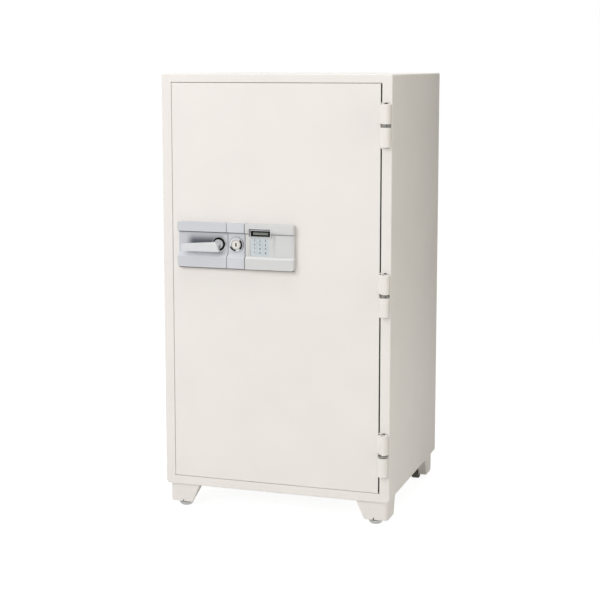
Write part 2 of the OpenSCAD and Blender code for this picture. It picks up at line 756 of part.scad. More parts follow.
// A panel section's cross-section: distance proud of the door against height
function profile(band, mid, slope) =
    let (e = panel_edge_r, low = panel_z + band_low, ledge = panel_top - band_top)
    concat([[0, panel_z]], arc(band - e, panel_z + e, e, 270, 360, 6),
        [[band, low - 2], [band - 0.6, low - 0.6], [band - 2, low]],
        [[mid + 1, low + slope - 1.5], [mid, low + slope + 1], [mid, ledge - 1], [mid + 1, ledge]],
        [[band - 1, ledge], [band, ledge + 1]],
        arc(band - e, panel_top - e, e, 0, 90, 6), [[0, panel_top]]);

// A corner rounded by r, or left square where r is 0
function corner(cx, cz, sx, sz, r, a) = r > 0 ? arc(cx + sx * r, cz + sz * r, r, a, a + 90, 6) : [[cx, cz]];

// A panel section: its cross-section, cut to rounded ends from the front and from above
module section(x0, x1, band, mid, slope, rl, rr) intersection() {
    translate([x1, 0, 0]) rotate([90, 0, -90]) linear_extrude(x1 - x0) polygon(profile(band, mid, slope));
    front_plate(concat(corner(x0, panel_z, 1, 1, rl, 180), corner(x1, panel_z, -1, 1, rr, 270),
        corner(x1, panel_top, -1, -1, rr, 0), corner(x0, panel_top, 1, -1, rl, 90)), -band - 1, 1);
    translate([0, 0, panel_z - 1]) linear_extrude(panel_h + 2)
        polygon(concat([[x1, 1], [x0, 1]], corner(x0, -band, 1, 1, min(rl, panel_edge_r), 180),
            corner(x1, -band, -1, 1, min(rr, panel_edge_r), 270)));
}

module lever_escutcheon() color(silver) body_frame() difference() {
    section(panel_left, lock_seg_x - seam, band_out, valley_out, valley_slope, panel_r, 0);
    y_cyl(bush_tube_r + slide_fit, -band_out, 1, lever_x, lever_z);
}

module lock_escutcheon() color(silver) body_frame() difference() {
    section(lock_seg_x, pad_seg_x - seam, band_out, valley_out, valley_slope, 0, 0);
    y_cyl(cyl_r + slide_fit, -band_out, 1, lock_x, lever_z);
}

module each_key() for (row = [0:3], col = [0:2])
    translate([key_x0 + col * key_pitch_x, 0, key_z0 + row * key_pitch_z]) children();

module key_block(fit, y0, y1)
    box(-key_w / 2 - fit, key_w / 2 + fit, y0, y1, -key_h / 2 - fit, key_h / 2 + fit);

// Moulded housing with the display's hood, key pockets, battery bay and board bay
module keypad_housing() color(silver) body_frame() difference() {
    union() {
        section(pad_seg_x, panel_right, pad_band, pad_mid, 6, 0, panel_r);
        slab(hood, -hood_out, -pad_mid + 1);
    }
    slab(grow(bezel, cover_fit / 2, cover_fit / 2), -hood_out - 1, -bezel_out + bezel_t);
    slab(surround, -pad_mid - 1, -pad_mid + surround_t);
    each_key() key_block(key_fit, -pad_mid, -pad_mid - key_proud + key_t + key_travel + 0.5);
    slab(grow(cover_box, cover_fit, cover_fit), -pad_mid - 1, -pad_mid + cover_plate_t);
    slab(grow(cover_box, -5, -4), -pad_mid, -2);
    slab(grow(surround, -3, 3), -board_out, 1);
}

module keypad_surround() color(key_tint) body_frame() difference() {
    slab(surround, -pad_mid, -pad_mid + surround_t);
    each_key() key_block(key_fit, -pad_mid - 1, -pad_mid + surround_t + 1);
}

module display_bezel() color(dark) body_frame() ring(bezel, window, -bezel_out, -bezel_out + bezel_t);

module display_window() color([0.45, 0.48, 0.43]) body_frame()
    slab(window, -bezel_out + bezel_t - window_t, -bezel_out + bezel_t);

module battery_cover() color(silver) body_frame() slab(cover_box, -pad_mid, -pad_mid + cover_plate_t);

module circuit_board() color([0.1, 0.4, 0.2]) body_frame()
    slab(grow(surround, -4, 1), -board_out, -board_out + board_t);

// One key of the pad, numbered from the upper left
module key(k) color(key_tint) body_frame()
    translate([key_x0 + ((k - 1) % 3) * key_pitch_x, 0, key_z0 + (3 - floor((k - 1) / 3)) * key_pitch_z])
        key_block(0, -pad_mid - key_proud, -pad_mid - key_proud + key_t);

// ---- Lever ---------------------------------------------------------------------------

// Turns a profile (radius against distance proud of the door) round a point on the front
module turned(x, z, points) translate([x, 0, z]) rotate([90, 0, 0]) rotate_extrude() polygon(points);

module lever_rose() color(chrome) body_frame() turned(lever_x, lever_z, [[bush_r, valley_out],
    [rose_r, valley_out], [rose_r, valley_out + rose_t - 3], [rose_r - 1.5, valley_out + rose_t - 0.8],
    [rose_r - 3.5, valley_out + rose_t], [bush_r, valley_out + rose_t - 1]]);

module spindle_bush() color(dark) body_frame() turned(lever_x, lever_z, [[spindle_r + pin_fit, -skin_t - 6],
    [bush_tube_r, -skin_t - 6], [bush_tube_r, valley_out], [bush_r, valley_out],
    [bush_r, valley_out + rose_t - 2], [spindle_r + pin_fit, valley_out + rose_t - 2]]);

// Flat tapering arm that hangs below its hub
module lever_handle() color(silver) body_frame() {
    turned(lever_x, lever_z, [[0, hub_back], [hub_r, hub_back], [hub_r, lever_out - 3],
        [hub_r - 1, lever_out - 1.2], [hub_r - 3, lever_out], [0, lever_out]]);
    hull() for (p = arm_corners) {
        y_cyl(arm_r, -lever_out + 3, -lever_out + arm_t, lever_x + p[0], lever_z + p[1], $fn = 24);
        y_cyl(arm_r / 2, -lever_out, -lever_out + 1, lever_x + p[0], lever_z + p[1], $fn = 24);
    }
}

// Spindle with the crank and crank pin at its inner end
module spindle() color(steel) body_frame() {
    y_cyl(spindle_r, -hub_back, crank_y + bar_t, lever_x, lever_z);
    translate([lever_x, 0, lever_z]) rotate([0, -crank_start, 0])
        box(0, crank_r, crank_y, crank_y + bar_t, -crank_pin_r - 1, crank_pin_r + 1);
    y_cyl(crank_pin_r + 3, crank_y, crank_y + bar_t, crank_x, crank_z);
    y_cyl(crank_pin_r, tail_y, crank_y, crank_x, crank_z);
}

// ---- Bolt work -----------------------------------------------------------------------

// Upright bar with its guide tabs and the notched tail that crank, cam and latch work on
module bolt_carriage() color(steel) body_frame() difference() {
    union() {
        box(bar_x, bar_x + bar_t, bolt_y - bar_depth / 2, bolt_y + bar_depth / 2,
            bolt_zs[0] - bar_over, bolt_zs[bolt_n - 1] + bar_over);
        box(bar_x + bar_t, tail_end, tail_y, tail_y + bar_t, tail_z, tail_z + tail_h);
        for (z = guide_z) box(bar_x + bar_t, guide_x + throw + 12, tail_y, tail_y + bar_t, z - 14, z + 14);
    }
    for (z = guide_z) box(guide_x - guide_r - slide_fit, guide_x + throw + guide_r + slide_fit,
        tail_y - 1, tail_y + bar_t + 1, z - guide_r - slide_fit, z + guide_r + slide_fit);
    box(crank_x - crank_pin_r - pin_slot_fit, crank_x + crank_pin_r + pin_slot_fit,
        tail_y - 1, tail_y + bar_t + 1, crank_z - crank_pin_r - 2, lever_z + crank_r + crank_pin_r + 2);
    for (s = [0, 1]) {
        box(lock_x - cam_half - notch_fit + s * throw, lock_x + cam_tip - notch_in + s * throw,
            tail_y - 1, tail_y + bar_t + 1, tail_z - 1, notch_top);
        box(latch_x - latch_r - 1 + s * throw, latch_x + latch_r + 1 + s * throw,
            tail_y - 1, tail_y + bar_t + 1, tail_z + tail_h - 8, tail_z + tail_h + 1);
    }
}

module live_bolts() color(chrome) body_frame() for (z = bolt_zs) {
    x_cyl(bolt_r, plug[0] + bolt_rest + 2, bar_x, bolt_y, z);
    translate([plug[0] + bolt_rest, bolt_y, z]) rotate([0, 90, 0])
        cylinder(r1 = bolt_r - 2, r2 = bolt_r, h = 2);
}

// ---- Key lock ------------------------------------------------------------------------

module lock_cylinder() color(chrome) body_frame() turned(lock_x, lever_z, [[plug_r + pin_fit, -cyl_back],
    [cyl_r, -cyl_back], [cyl_r, valley_out], [lock_ring_r, valley_out],
    [lock_ring_r, valley_out + 4], [lock_ring_r - 2, valley_out + 6.5], [lock_ring_r - 4, valley_out + 7],
    [plug_r + 3, valley_out + 4.5], [plug_r + pin_fit, valley_out + 4]]);

// Plug with its key slot, shaft and cam
module key_plug() color(chrome) body_frame() {
    difference() {
        turned(lock_x, lever_z, [[0, -cyl_back], [plug_r, -cyl_back], [plug_r, valley_out + 4],
            [plug_r - 1.5, valley_out + 5], [0, valley_out + 5]]);
        box(lock_x - 1.5, lock_x + 1.5, -valley_out - 6, -valley_out + 4, lever_z - 5.5, lever_z + 5.5);
    }
    y_cyl(shaft_r, cyl_back, tail_y + bar_t, lock_x, lever_z);
    box(lock_x, lock_x + cam_len, tail_y, tail_y + bar_t, lever_z - cam_half, lever_z + cam_half);
}

module lock_case() color(steel) body_frame() difference() {
    box(lock_x - 35, lock_x + 35, plate_y, plate_y + case_t, lever_z - 30, lever_z + 32);
    y_cyl(shaft_r + pin_fit, plate_y - 1, plate_y + case_t + 1, lock_x, lever_z);
}

// Electric latch: its plunger drops into the notches of the carriage's tail
module solenoid() color(steel) body_frame() difference() {
    box(latch_x - coil_half, latch_x + coil_half, plate_y, tail_y + 16, coil_z, coil_z + coil_h);
    z_cyl(latch_r + pin_fit, coil_z - 1, coil_z + coil_h - 10, latch_x, tail_y + bar_t / 2);
}

module plunger() color(steel) body_frame()
    z_cyl(latch_r, tail_z + tail_h + latch_up, coil_z + coil_h - 12, latch_x, tail_y + bar_t / 2);

// ---- Parts ---------------------------------------------------------------------------

outer_shell();
back_plate();
cabinet_fill();
door_frame();
heat_seal();
inner_liner();
shelves();
shelf_clips();
hinge_pins();
hinge_washers();
lower_knuckles();
front_foot(0);  // foot_front_left
front_foot(1);  // foot_front_right
rear_foot(0);  // foot_rear_left
rear_foot(1);  // foot_rear_right
foot_bolts();
roller_axles();
roller(0);  // roller_left
roller(1);  // roller_right
leveller(0);  // leveller_left
leveller(1);  // leveller_right
door_skin();
door_fill();
door_liner();
back_cover();
cover_screws();
fixed_dogs();
upper_knuckles();
lever_escutcheon();
lock_escutcheon();
keypad_housing();
keypad_surround();
display_bezel();
display_window();
battery_cover();
circuit_board();
lever_rose();
spindle_bush();
lock_cylinder();
lock_case();
solenoid();
lever_handle();
spindle();
bolt_carriage();
live_bolts();
key_plug();
plunger();
for (k = [1:12]) key(k);
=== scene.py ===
"""Looks of a free-standing fire safe, built round its packed construction frame."""

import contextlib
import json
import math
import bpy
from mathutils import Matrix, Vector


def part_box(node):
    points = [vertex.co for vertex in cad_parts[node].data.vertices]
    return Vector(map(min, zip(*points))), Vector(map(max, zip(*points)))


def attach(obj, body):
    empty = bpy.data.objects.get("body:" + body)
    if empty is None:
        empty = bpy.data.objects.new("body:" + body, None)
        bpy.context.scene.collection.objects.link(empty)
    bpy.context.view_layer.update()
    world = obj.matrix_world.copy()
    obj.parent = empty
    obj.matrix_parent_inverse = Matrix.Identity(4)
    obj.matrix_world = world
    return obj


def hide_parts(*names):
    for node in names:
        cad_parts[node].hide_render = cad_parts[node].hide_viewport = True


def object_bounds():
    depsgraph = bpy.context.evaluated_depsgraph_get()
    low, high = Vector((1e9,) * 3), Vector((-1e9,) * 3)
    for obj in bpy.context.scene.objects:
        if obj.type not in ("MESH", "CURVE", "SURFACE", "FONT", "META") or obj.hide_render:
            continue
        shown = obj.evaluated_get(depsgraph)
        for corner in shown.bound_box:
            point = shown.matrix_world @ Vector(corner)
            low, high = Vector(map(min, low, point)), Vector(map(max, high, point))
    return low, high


bl_info = {
    "name": "Fire Safe",
    "version": (1, 0, 0),
    "blender": (4, 5, 0),
    "location": "View3D > Sidebar > Fire Safe",
    "description": "Dresses the frame of a free-standing fire safe with its panel, keys "
                   "and finishes",
    "category": "Object",
}

import bpy
from mathutils import Vector

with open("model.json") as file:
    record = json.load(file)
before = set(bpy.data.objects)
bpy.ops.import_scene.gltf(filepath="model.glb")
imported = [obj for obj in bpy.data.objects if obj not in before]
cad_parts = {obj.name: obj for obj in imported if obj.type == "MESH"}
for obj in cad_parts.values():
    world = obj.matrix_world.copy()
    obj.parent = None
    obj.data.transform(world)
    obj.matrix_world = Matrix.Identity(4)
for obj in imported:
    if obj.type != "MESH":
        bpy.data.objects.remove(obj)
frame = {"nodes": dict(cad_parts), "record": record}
CAD_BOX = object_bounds()

MM = 0.001
SLOTS = {row["node"]: row["material_slot"] for row in frame["record"]["subparts"]}
BODIES = {node: body for body, nodes in frame["record"]["behaviour"]["bodies"].items()
          for node in nodes}
# Each finish by its name, filled by the operator that finishes the frame
FINISHES = {}
# Share of a direction's length along an axis, past which it counts as aligned with it
ALIGNED = 0.9
# Where a noise's darker and lighter shades are full
NOISE_SPREAD = (0.3, 0.7)
# How far from a plane a corner may lie and still count as on it
SLACK = 0.2 * MM
# Edge radii of thin trim, of small turned parts and of moulded fittings
TRIM_EDGE, TURNED_EDGE, FITTING_EDGE = 0.3 * MM, 0.4 * MM, 0.5 * MM


# ---- Settings ------------------------------------------------------------------------

LENGTH = {"subtype": "DISTANCE", "unit": "LENGTH"}
ANGLE = {"subtype": "ANGLE", "unit": "ROTATION"}
COLOUR = {"subtype": "COLOR", "size": 3, "min": 0, "max": 1}
SHARE = {"subtype": "FACTOR", "min": 0, "max": 1}
WATTS = {"min": 0, "max": 2000}


class SafeFinish(bpy.types.PropertyGroup):
    """Colours and surface values of the finishes."""

    paint: bpy.props.FloatVectorProperty(
        name="Paint", description="Colour of the powder-coated cabinet and door",
        default=(0.865, 0.832, 0.812), **COLOUR)
    paint_rough: bpy.props.FloatProperty(
        name="Paint roughness", description="Roughness of the powder coat",
        default=0.42, **SHARE)
    inner_paint: bpy.props.FloatVectorProperty(
        name="Inner paint", description="Colour of the lining, shelves and door back",
        default=(0.60, 0.60, 0.58), **COLOUR)
    silver: bpy.props.FloatVectorProperty(
        name="Silver moulding", description="Colour of the control panel's silver paint",
        default=(0.63, 0.64, 0.685), **COLOUR)
    pad_silver: bpy.props.FloatVectorProperty(
        name="Keypad silver", description="Colour of the silver paint on the keypad's section",
        default=(0.67, 0.675, 0.685), **COLOUR)
    key_tint: bpy.props.FloatVectorProperty(
        name="Key tint", description="Colour of the keypad's keys and surround",
        default=(0.62, 0.67, 0.72), **COLOUR)
    glass: bpy.props.FloatVectorProperty(
        name="Display glass", description="Colour of the unlit display",
        default=(0.21, 0.225, 0.205), **COLOUR)


class SafeStage(bpy.types.PropertyGroup):
    """Camera and light."""

    lens: bpy.props.FloatProperty(
        name="Lens", description="Focal length on a 36 mm sensor, in millimetres",
        min=20, max=300, default=86.38)
    yaw: bpy.props.FloatProperty(
        name="Yaw", description="How far the camera looks to the left of straight on",
        default=math.radians(17.91), **ANGLE)
    pitch: bpy.props.FloatProperty(
        name="Pitch", description="How far the camera looks down",
        default=math.radians(7.68), **ANGLE)
    shift: bpy.props.FloatProperty(
        name="Shift", description="Vertical shift of the lens as a share of the picture",
        min=-0.2, max=0.2, default=-0.07)
    eye_x: bpy.props.FloatProperty(
        name="Camera across", description="Camera to the right of the cabinet's middle",
        default=1.465, **LENGTH)
    eye_y: bpy.props.FloatProperty(
        name="Camera before", description="Camera in front of the cabinet's front face",
        default=4.271, **LENGTH)
    eye_z: bpy.props.FloatProperty(
        name="Camera height", description="Camera above the floor",
        default=1.456, **LENGTH)
    key_power: bpy.props.FloatProperty(
        name="Key lamp", description="Power of the large lamp at the front left, in watts",
        default=115, **WATTS)
    side_power: bpy.props.FloatProperty(
        name="Side lamp", description="Power of the lamp at the front right, in watts",
        default=6, **WATTS)
    top_power: bpy.props.FloatProperty(
        name="Top lamp", description="Power of the lamp above, in watts",
        default=65, **WATTS)
    sky: bpy.props.FloatProperty(
        name="Sky", description="Strength of the even light from all round",
        min=0, max=2, default=0.34)
    floor_white: bpy.props.FloatProperty(
        name="Floor white", description="Share of plain white in the floor as the eye sees it",
        default=0.7, **SHARE)
    floor_glow: bpy.props.FloatProperty(
        name="Floor glow",
        description="Strength of that white, which evens out the floor's own shade",
        min=0, max=2, default=1.3)


# ---- Helpers -------------------------------------------------------------------------


def front_y():
    """The cabinet's front face, which the door's face lies flush with."""
    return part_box("door_skin")[0].y


def deselect():
    """Nothing is selected and nothing is being edited."""
    if bpy.context.mode != "OBJECT":
        bpy.ops.object.mode_set(mode="OBJECT")
    bpy.ops.object.select_all(action="DESELECT")


def make_active(piece):
    """The piece alone is selected, and operators act on it."""
    deselect()
    piece.select_set(True)
    bpy.context.view_layer.objects.active = piece


def settle(piece):
    """Moves a piece's place and size into its mesh."""
    make_active(piece)
    bpy.ops.object.transform_apply(location=True, rotation=True, scale=True)
    return piece


@contextlib.contextmanager
def all_chosen(piece):
    """Opens a piece for editing with the whole of it selected, and closes it after."""
    make_active(piece)
    bpy.ops.object.mode_set(mode="EDIT")
    bpy.ops.mesh.select_all(action="SELECT")
    yield
    bpy.ops.object.mode_set(mode="OBJECT")


@contextlib.contextmanager
def chosen(piece, kind, test):
    """Opens a piece for editing with what passes a test selected, and closes it after.

    A face is tested by its middle and normal, an edge by its middle and direction, and a
    corner by its place.
    """
    make_active(piece)
    bpy.ops.object.mode_set(mode="EDIT")
    bpy.ops.mesh.select_mode(type=kind)
    bpy.ops.mesh.select_all(action="DESELECT")
    bpy.ops.object.mode_set(mode="OBJECT")
    mesh = piece.data
    if kind == "FACE":
        for face in mesh.polygons:
            face.select = test(face.center, face.normal)
    elif kind == "EDGE":
        for edge in mesh.edges:
            a, b = (mesh.vertices[i].co for i in edge.vertices)
            edge.select = test((a + b) / 2, (b - a).normalized())
    else:
        for corner in mesh.vertices:
            corner.select = test(corner.co)
    bpy.ops.object.mode_set(mode="EDIT")
    yield
    bpy.ops.object.mode_set(mode="OBJECT")


def faces_front(_, normal):
    """Whether a face looks to the front."""
    return normal.y < -ALIGNED


def faces_back(_, normal):
    """Whether a face looks to the back."""
    return normal.y > ALIGNED


def runs_deep(_, direction):
    """Whether an edge runs from front to back."""
    return abs(direction.y) > ALIGNED


# ---- Modelling helpers ---------------------------------------------------------------


def add_block(name, low, high):
    """A box between two corners."""
    deselect()
    low, high = Vector(low), Vector(high)
    bpy.ops.mesh.primitive_cube_add(size=1, location=(low + high) / 2)
    piece = bpy.context.object
    piece.name = name
    piece.scale = high - low
    return settle(piece)


def add_disc(name, radius, y_front, y_back, x, z, sides=96):
    """A cylinder that lies along Y."""
    deselect()
    bpy.ops.mesh.primitive_cylinder_add(
        vertices=sides, radius=radius, depth=y_back - y_front,
        location=(x, (y_front + y_back) / 2, z), rotation=(math.pi / 2, 0, 0))
    piece = bpy.context.object
    piece.name = name
    return settle(piece)


def turned(name, rows, x, z, sides=96):
    """A closed ring about a line along Y.

    Its rows of radius and y run once round its section.
    """
    deselect()
    radius, y = rows[0]
    bpy.ops.mesh.primitive_circle_add(
        vertices=sides, radius=radius, location=(x, y, z), rotation=(math.pi / 2, 0, 0))
    piece = bpy.context.object
    piece.name = name
    settle(piece)
    with all_chosen(piece):
        for next_radius, next_y in (*rows[1:], rows[0]):
            bpy.ops.mesh.extrude_edges_move(
                TRANSFORM_OT_translate={"value": (0, next_y - y, 0)})
            grow = next_radius / radius
            bpy.ops.transform.resize(value=(grow, 1, grow), center_override=(x, next_y, z))
            radius, y = next_radius, next_y
        bpy.ops.mesh.select_all(action="SELECT")
        bpy.ops.mesh.remove_doubles(threshold=0.001 * MM)
        bpy.ops.mesh.normals_make_consistent(inside=False)
    return even_shading(piece)


def cut_across(piece, point, normal):
    """Cuts a line of edges round a piece along a plane."""
    with all_chosen(piece):
        bpy.ops.mesh.bisect(plane_co=point, plane_no=normal)


def cut_off(piece, point, normal):
    """Cuts a piece along a plane, takes off what lies beyond it and closes the cut."""
    with all_chosen(piece):
        bpy.ops.mesh.bisect(plane_co=point, plane_no=normal, use_fill=True, clear_outer=True)
    return piece


def even_shading(piece, angle=40):
    """Shades a piece smooth while its large flat faces stay even."""
    make_active(piece)
    bpy.ops.object.shade_smooth_by_angle(angle=math.radians(angle))
    weights = piece.modifiers.new("shading", "WEIGHTED_NORMAL")
    weights.keep_sharp = True
    bpy.ops.object.modifier_apply(modifier=weights.name)
    return piece


def soften(piece, width, segments=3, angle=35):
    """Rounds every edge sharper than an angle and shades the piece smooth."""
    make_active(piece)
    rounding = piece.modifiers.new("rounding", "BEVEL")
    rounding.width = width
    rounding.segments = segments
    rounding.limit_method = "ANGLE"
    rounding.angle_limit = math.radians(angle)
    bpy.ops.object.modifier_apply(modifier=rounding.name)
    return even_shading(piece)


def round_corners(piece, radius, segments):
    """Rounds the edges of a piece that run from front to back."""
    with chosen(piece, "EDGE", runs_deep):
        bpy.ops.mesh.bevel(offset=radius, segments=segments)
    return piece


def joined(piece, operation, others):
    """Applies other pieces' shapes to a piece and deletes them."""
    for other in others:
        make_active(piece)
        joining = piece.modifiers.new("joining", "BOOLEAN")
        joining.operation = operation
        joining.object = other
        joining.solver = "EXACT"
        bpy.ops.object.modifier_apply(modifier=joining.name)
        bpy.data.objects.remove(other)
    return piece


def cut_away(piece, *cutters):
    """Takes the cutters' shapes out of a piece."""
    return joined(piece, "DIFFERENCE", cutters)


def merge(piece, *others):
    """Unites pieces into one closed mesh."""
    return joined(piece, "UNION", others)


def clean_copy(name, node, whole=True):
    """A closed copy of a construction node, with its flat faces whole again if asked."""
    piece = bpy.data.objects.new(name, frame["nodes"][node].data.copy())
    bpy.context.scene.collection.objects.link(piece)
    with all_chosen(piece):
        bpy.ops.mesh.remove_doubles(threshold=0.002 * MM)
        if whole:
            bpy.ops.mesh.dissolve_limited(angle_limit=math.radians(0.5))
    return piece


def dress(piece, finish, body, slot, *nodes):
    """Gives a piece its finish, the body it moves with and the nodes it stands for."""
    piece.data.materials.clear()
    piece.data.materials.append(FINISHES[finish])
    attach(piece, body)
    if nodes:
        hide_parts(*nodes)
    return piece


def stand_for(piece, finish, node):
    """Dresses a piece that replaces one construction node."""
    return dress(piece, finish, BODIES[node], SLOTS[node], node)


def rounded_copy(name, node, width, finish, segments=2, whole=True):
    """Stands for a construction node with its edges rounded as on the finished part."""
    return stand_for(soften(clean_copy(name, node, whole), width, segments), finish, node)


def round_all(rows):
    """Rounds a group of nodes, each with its piece's name, finish, radius and segments."""
    for node, name, finish, width, segments in rows:
        rounded_copy(name, node, width, finish, segments)


# ---- Finishes ------------------------------------------------------------------------


def feed(tree, socket, value):
    """Links another node's output to an input, or sets the input's own value."""
    if isinstance(value, bpy.types.NodeSocket):
        tree.links.new(value, socket)
    else:
        socket.default_value = value


def add_node(tree, kind, **inputs):
    """A node whose inputs, by their names, hold values or take other nodes' outputs."""
    node = tree.nodes.new("ShaderNode" + kind)
    for name, value in inputs.items():
        feed(tree, node.inputs[name.replace("_", " ")], value)
    return node


def reckon(tree, operation, first, second):
    """The output of a node that reckons with two numbers."""
    node = tree.nodes.new("ShaderNodeMath")
    node.operation = operation
    feed(tree, node.inputs[0], first)
    feed(tree, node.inputs[1], second)
    return node.outputs[0]


def shader(name, colour, rough, **inputs):
    """A new material, its node tree and its Principled shader, to add detail to."""
    material = bpy.data.materials.new(name)
    material.use_nodes = True
    tree = material.node_tree
    surface = tree.nodes["Principled BSDF"]
    surface.inputs["Base Color"].default_value = (*colour, 1)
    surface.inputs["Roughness"].default_value = rough
    for key, value in inputs.items():
        surface.inputs[key.replace("_", " ")].default_value = value
    return material, tree, surface


def noise(tree, scale, detail=3.0, stretch=(1, 1, 1)):
    """Noise on object coordinates; scale is in waves per metre."""
    place = add_node(tree, "TexCoord").outputs["Object"]
    mapping = add_node(tree, "Mapping", Vector=place, Scale=stretch)
    texture = add_node(tree, "TexNoise", Vector=mapping.outputs["Vector"], Scale=scale,
                       Detail=detail)
    return texture.outputs["Fac"]


def shade(colour, factor):
    """A colour made darker or lighter."""
    return tuple(min(1.0, c * factor) for c in colour)


def vary_colour(tree, surface, fac, colour, low, high):
    """Runs the base colour between two shades of a colour with a noise."""
    ramp = add_node(tree, "ValToRGB", Fac=fac)
    for stop, place, factor in zip(ramp.color_ramp.elements, NOISE_SPREAD, (low, high)):
        stop.position = place
        stop.color = (*shade(colour, factor), 1)
    tree.links.new(ramp.outputs["Color"], surface.inputs["Base Color"])


def vary_rough(tree, surface, fac, low, high):
    """Runs the roughness between two values with a noise."""
    span = add_node(tree, "MapRange", Value=fac, To_Min=low, To_Max=high)
    tree.links.new(span.outputs["Result"], surface.inputs["Roughness"])


def bump(tree, surface, height, strength, depth):
    """Fine relief from a noise; depth is in metres."""
    relief = add_node(tree, "Bump", Height=height, Strength=strength, Distance=depth)
    tree.links.new(relief.outputs["Normal"], surface.inputs["Normal"])


def powder_coat(name, colour, rough):
    """Powder coat: faint mottling and a fine orange peel."""
    material, tree, surface = shader(name, colour, rough, Specular_IOR_Level=0.05)
    vary_colour(tree, surface, noise(tree, 6, 2), colour, 0.985, 1.01)
    vary_rough(tree, surface, noise(tree, 40, 3), rough - 0.05, rough + 0.05)
    bump(tree, surface, noise(tree, 420, 2), 0.12, 0.2 * MM)
    return material


def silver_paint(name, colour):
    """Silver paint on a moulding: fine flake under a satin coat."""
    material, tree, surface = shader(name, colour, 0.42, Metallic=0.08, Coat_Weight=0.06,
                                     Coat_Roughness=0.3, Specular_IOR_Level=0.25)
    vary_colour(tree, surface, noise(tree, 1800, 1), colour, 0.96, 1.04)
    bump(tree, surface, noise(tree, 1500, 1), 0.08, 0.1 * MM)
    return material


def silver_with_painted_light(name, colour, line, slope, node, lever_shade=None):
    """Silver paint with painted light and shade over a section of the panel.

    line is the colour of a painted shadow in the corner under the upper band. The colour given
    for the lever's hollow, where there is one, is painted shade behind the lever. A painted
    highlight lightens the slope's crest.
    """
    material = silver_paint(name, colour)
    tree = material.node_tree
    surface = tree.nodes["Principled BSDF"]
    shaded_colour = surface.inputs["Base Color"].links[0].from_socket
    low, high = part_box(node)
    sizes = bpy.context.scene.safe_panel
    ledge, crest = high.z - sizes.band_top, low.z + sizes.band_low
    rose_low, rose_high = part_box("lever_rose")
    pivot = (rose_low + rose_high) / 2
    split = add_node(tree, "SeparateXYZ", Vector=add_node(tree, "TexCoord").outputs["Object"])
    # Each zone paints light or shade, with its colour and its sides: an axis, where the colour
    # starts and where it is full
    # Painted shadow line in the corner under the upper band's ledge
    zones = [(line, (("Z", ledge - 5 * MM, ledge - 1.5 * MM),
                     ("Z", ledge + 0.8 * MM, ledge + 0.2 * MM))),
             # Painted highlight on the slope's crest
             (shade(colour, 1.14), (("Z", crest - 1 * MM, crest + 1 * MM),
                                    ("Z", crest + slope + 2 * MM, crest + slope - 1 * MM)))]
    # Painted shade on the hollow behind the lever, darkest just above the lever
    if lever_shade:
        zones.insert(0, (lever_shade, (("Z", ledge - 2 * MM, pivot.z + 6 * MM),
                                ("Z", pivot.z - 8 * MM, pivot.z - 2 * MM),
                                ("X", low.x + 22 * MM, low.x + 52 * MM),
                                ("X", pivot.x + 22 * MM, pivot.x + 6 * MM))))
    for target, sides in zones:
        share = None
        for axis, start, end in sides:
            side = add_node(tree, "MapRange", Value=split.outputs[axis], From_Min=start,
                            From_Max=end)
            side.interpolation_type = "SMOOTHSTEP"
            value = side.outputs["Result"]
            share = reckon(tree, "MULTIPLY", share, value) if share else value
        blend = tree.nodes.new("ShaderNodeMix")
        blend.data_type = "RGBA"
        feed(tree, blend.inputs["Factor"], share)
        feed(tree, blend.inputs["A"], shaded_colour)
        feed(tree, blend.inputs["B"], (*target, 1))
        shaded_colour = blend.outputs["Result"]
    tree.links.new(shaded_colour, surface.inputs["Base Color"])
    return material


def brushed(name, colour, rough, stretch, metallic=1.0):
    """Brushed or plated metal with fine lines along one way."""
    material, tree, surface = shader(name, colour, rough, Metallic=metallic)
    lines = noise(tree, 900, 3, stretch)
    vary_colour(tree, surface, lines, colour, 0.9, 1.08)
    vary_rough(tree, surface, lines, rough - 0.06, rough + 0.08)
    bump(tree, surface, lines, 0.08, 0.1 * MM)
    return material


def polished(name, colour):
    """Bright chrome with the faintest haze."""
    material, tree, surface = shader(name, colour, 0.06, Metallic=1.0)
    vary_rough(tree, surface, noise(tree, 60, 3), 0.04, 0.1)
    return material


def plastic(name, colour, rough, gloss=0.4):
    """Moulded plastic with a fine grain."""
    material, tree, surface = shader(name, colour, rough, Specular_IOR_Level=gloss)
    vary_colour(tree, surface, noise(tree, 90, 2), colour, 0.96, 1.05)
    bump(tree, surface, noise(tree, 2200, 1), 0.06, 0.1 * MM)
    return material


def mineral(name, colour):
    """Set fireproof fill: grainy and dull."""
    material, tree, surface = shader(name, colour, 0.9)
    vary_colour(tree, surface, noise(tree, 120, 6), colour, 0.8, 1.1)
    bump(tree, surface, noise(tree, 260, 6), 0.6, 1 * MM)
    return material


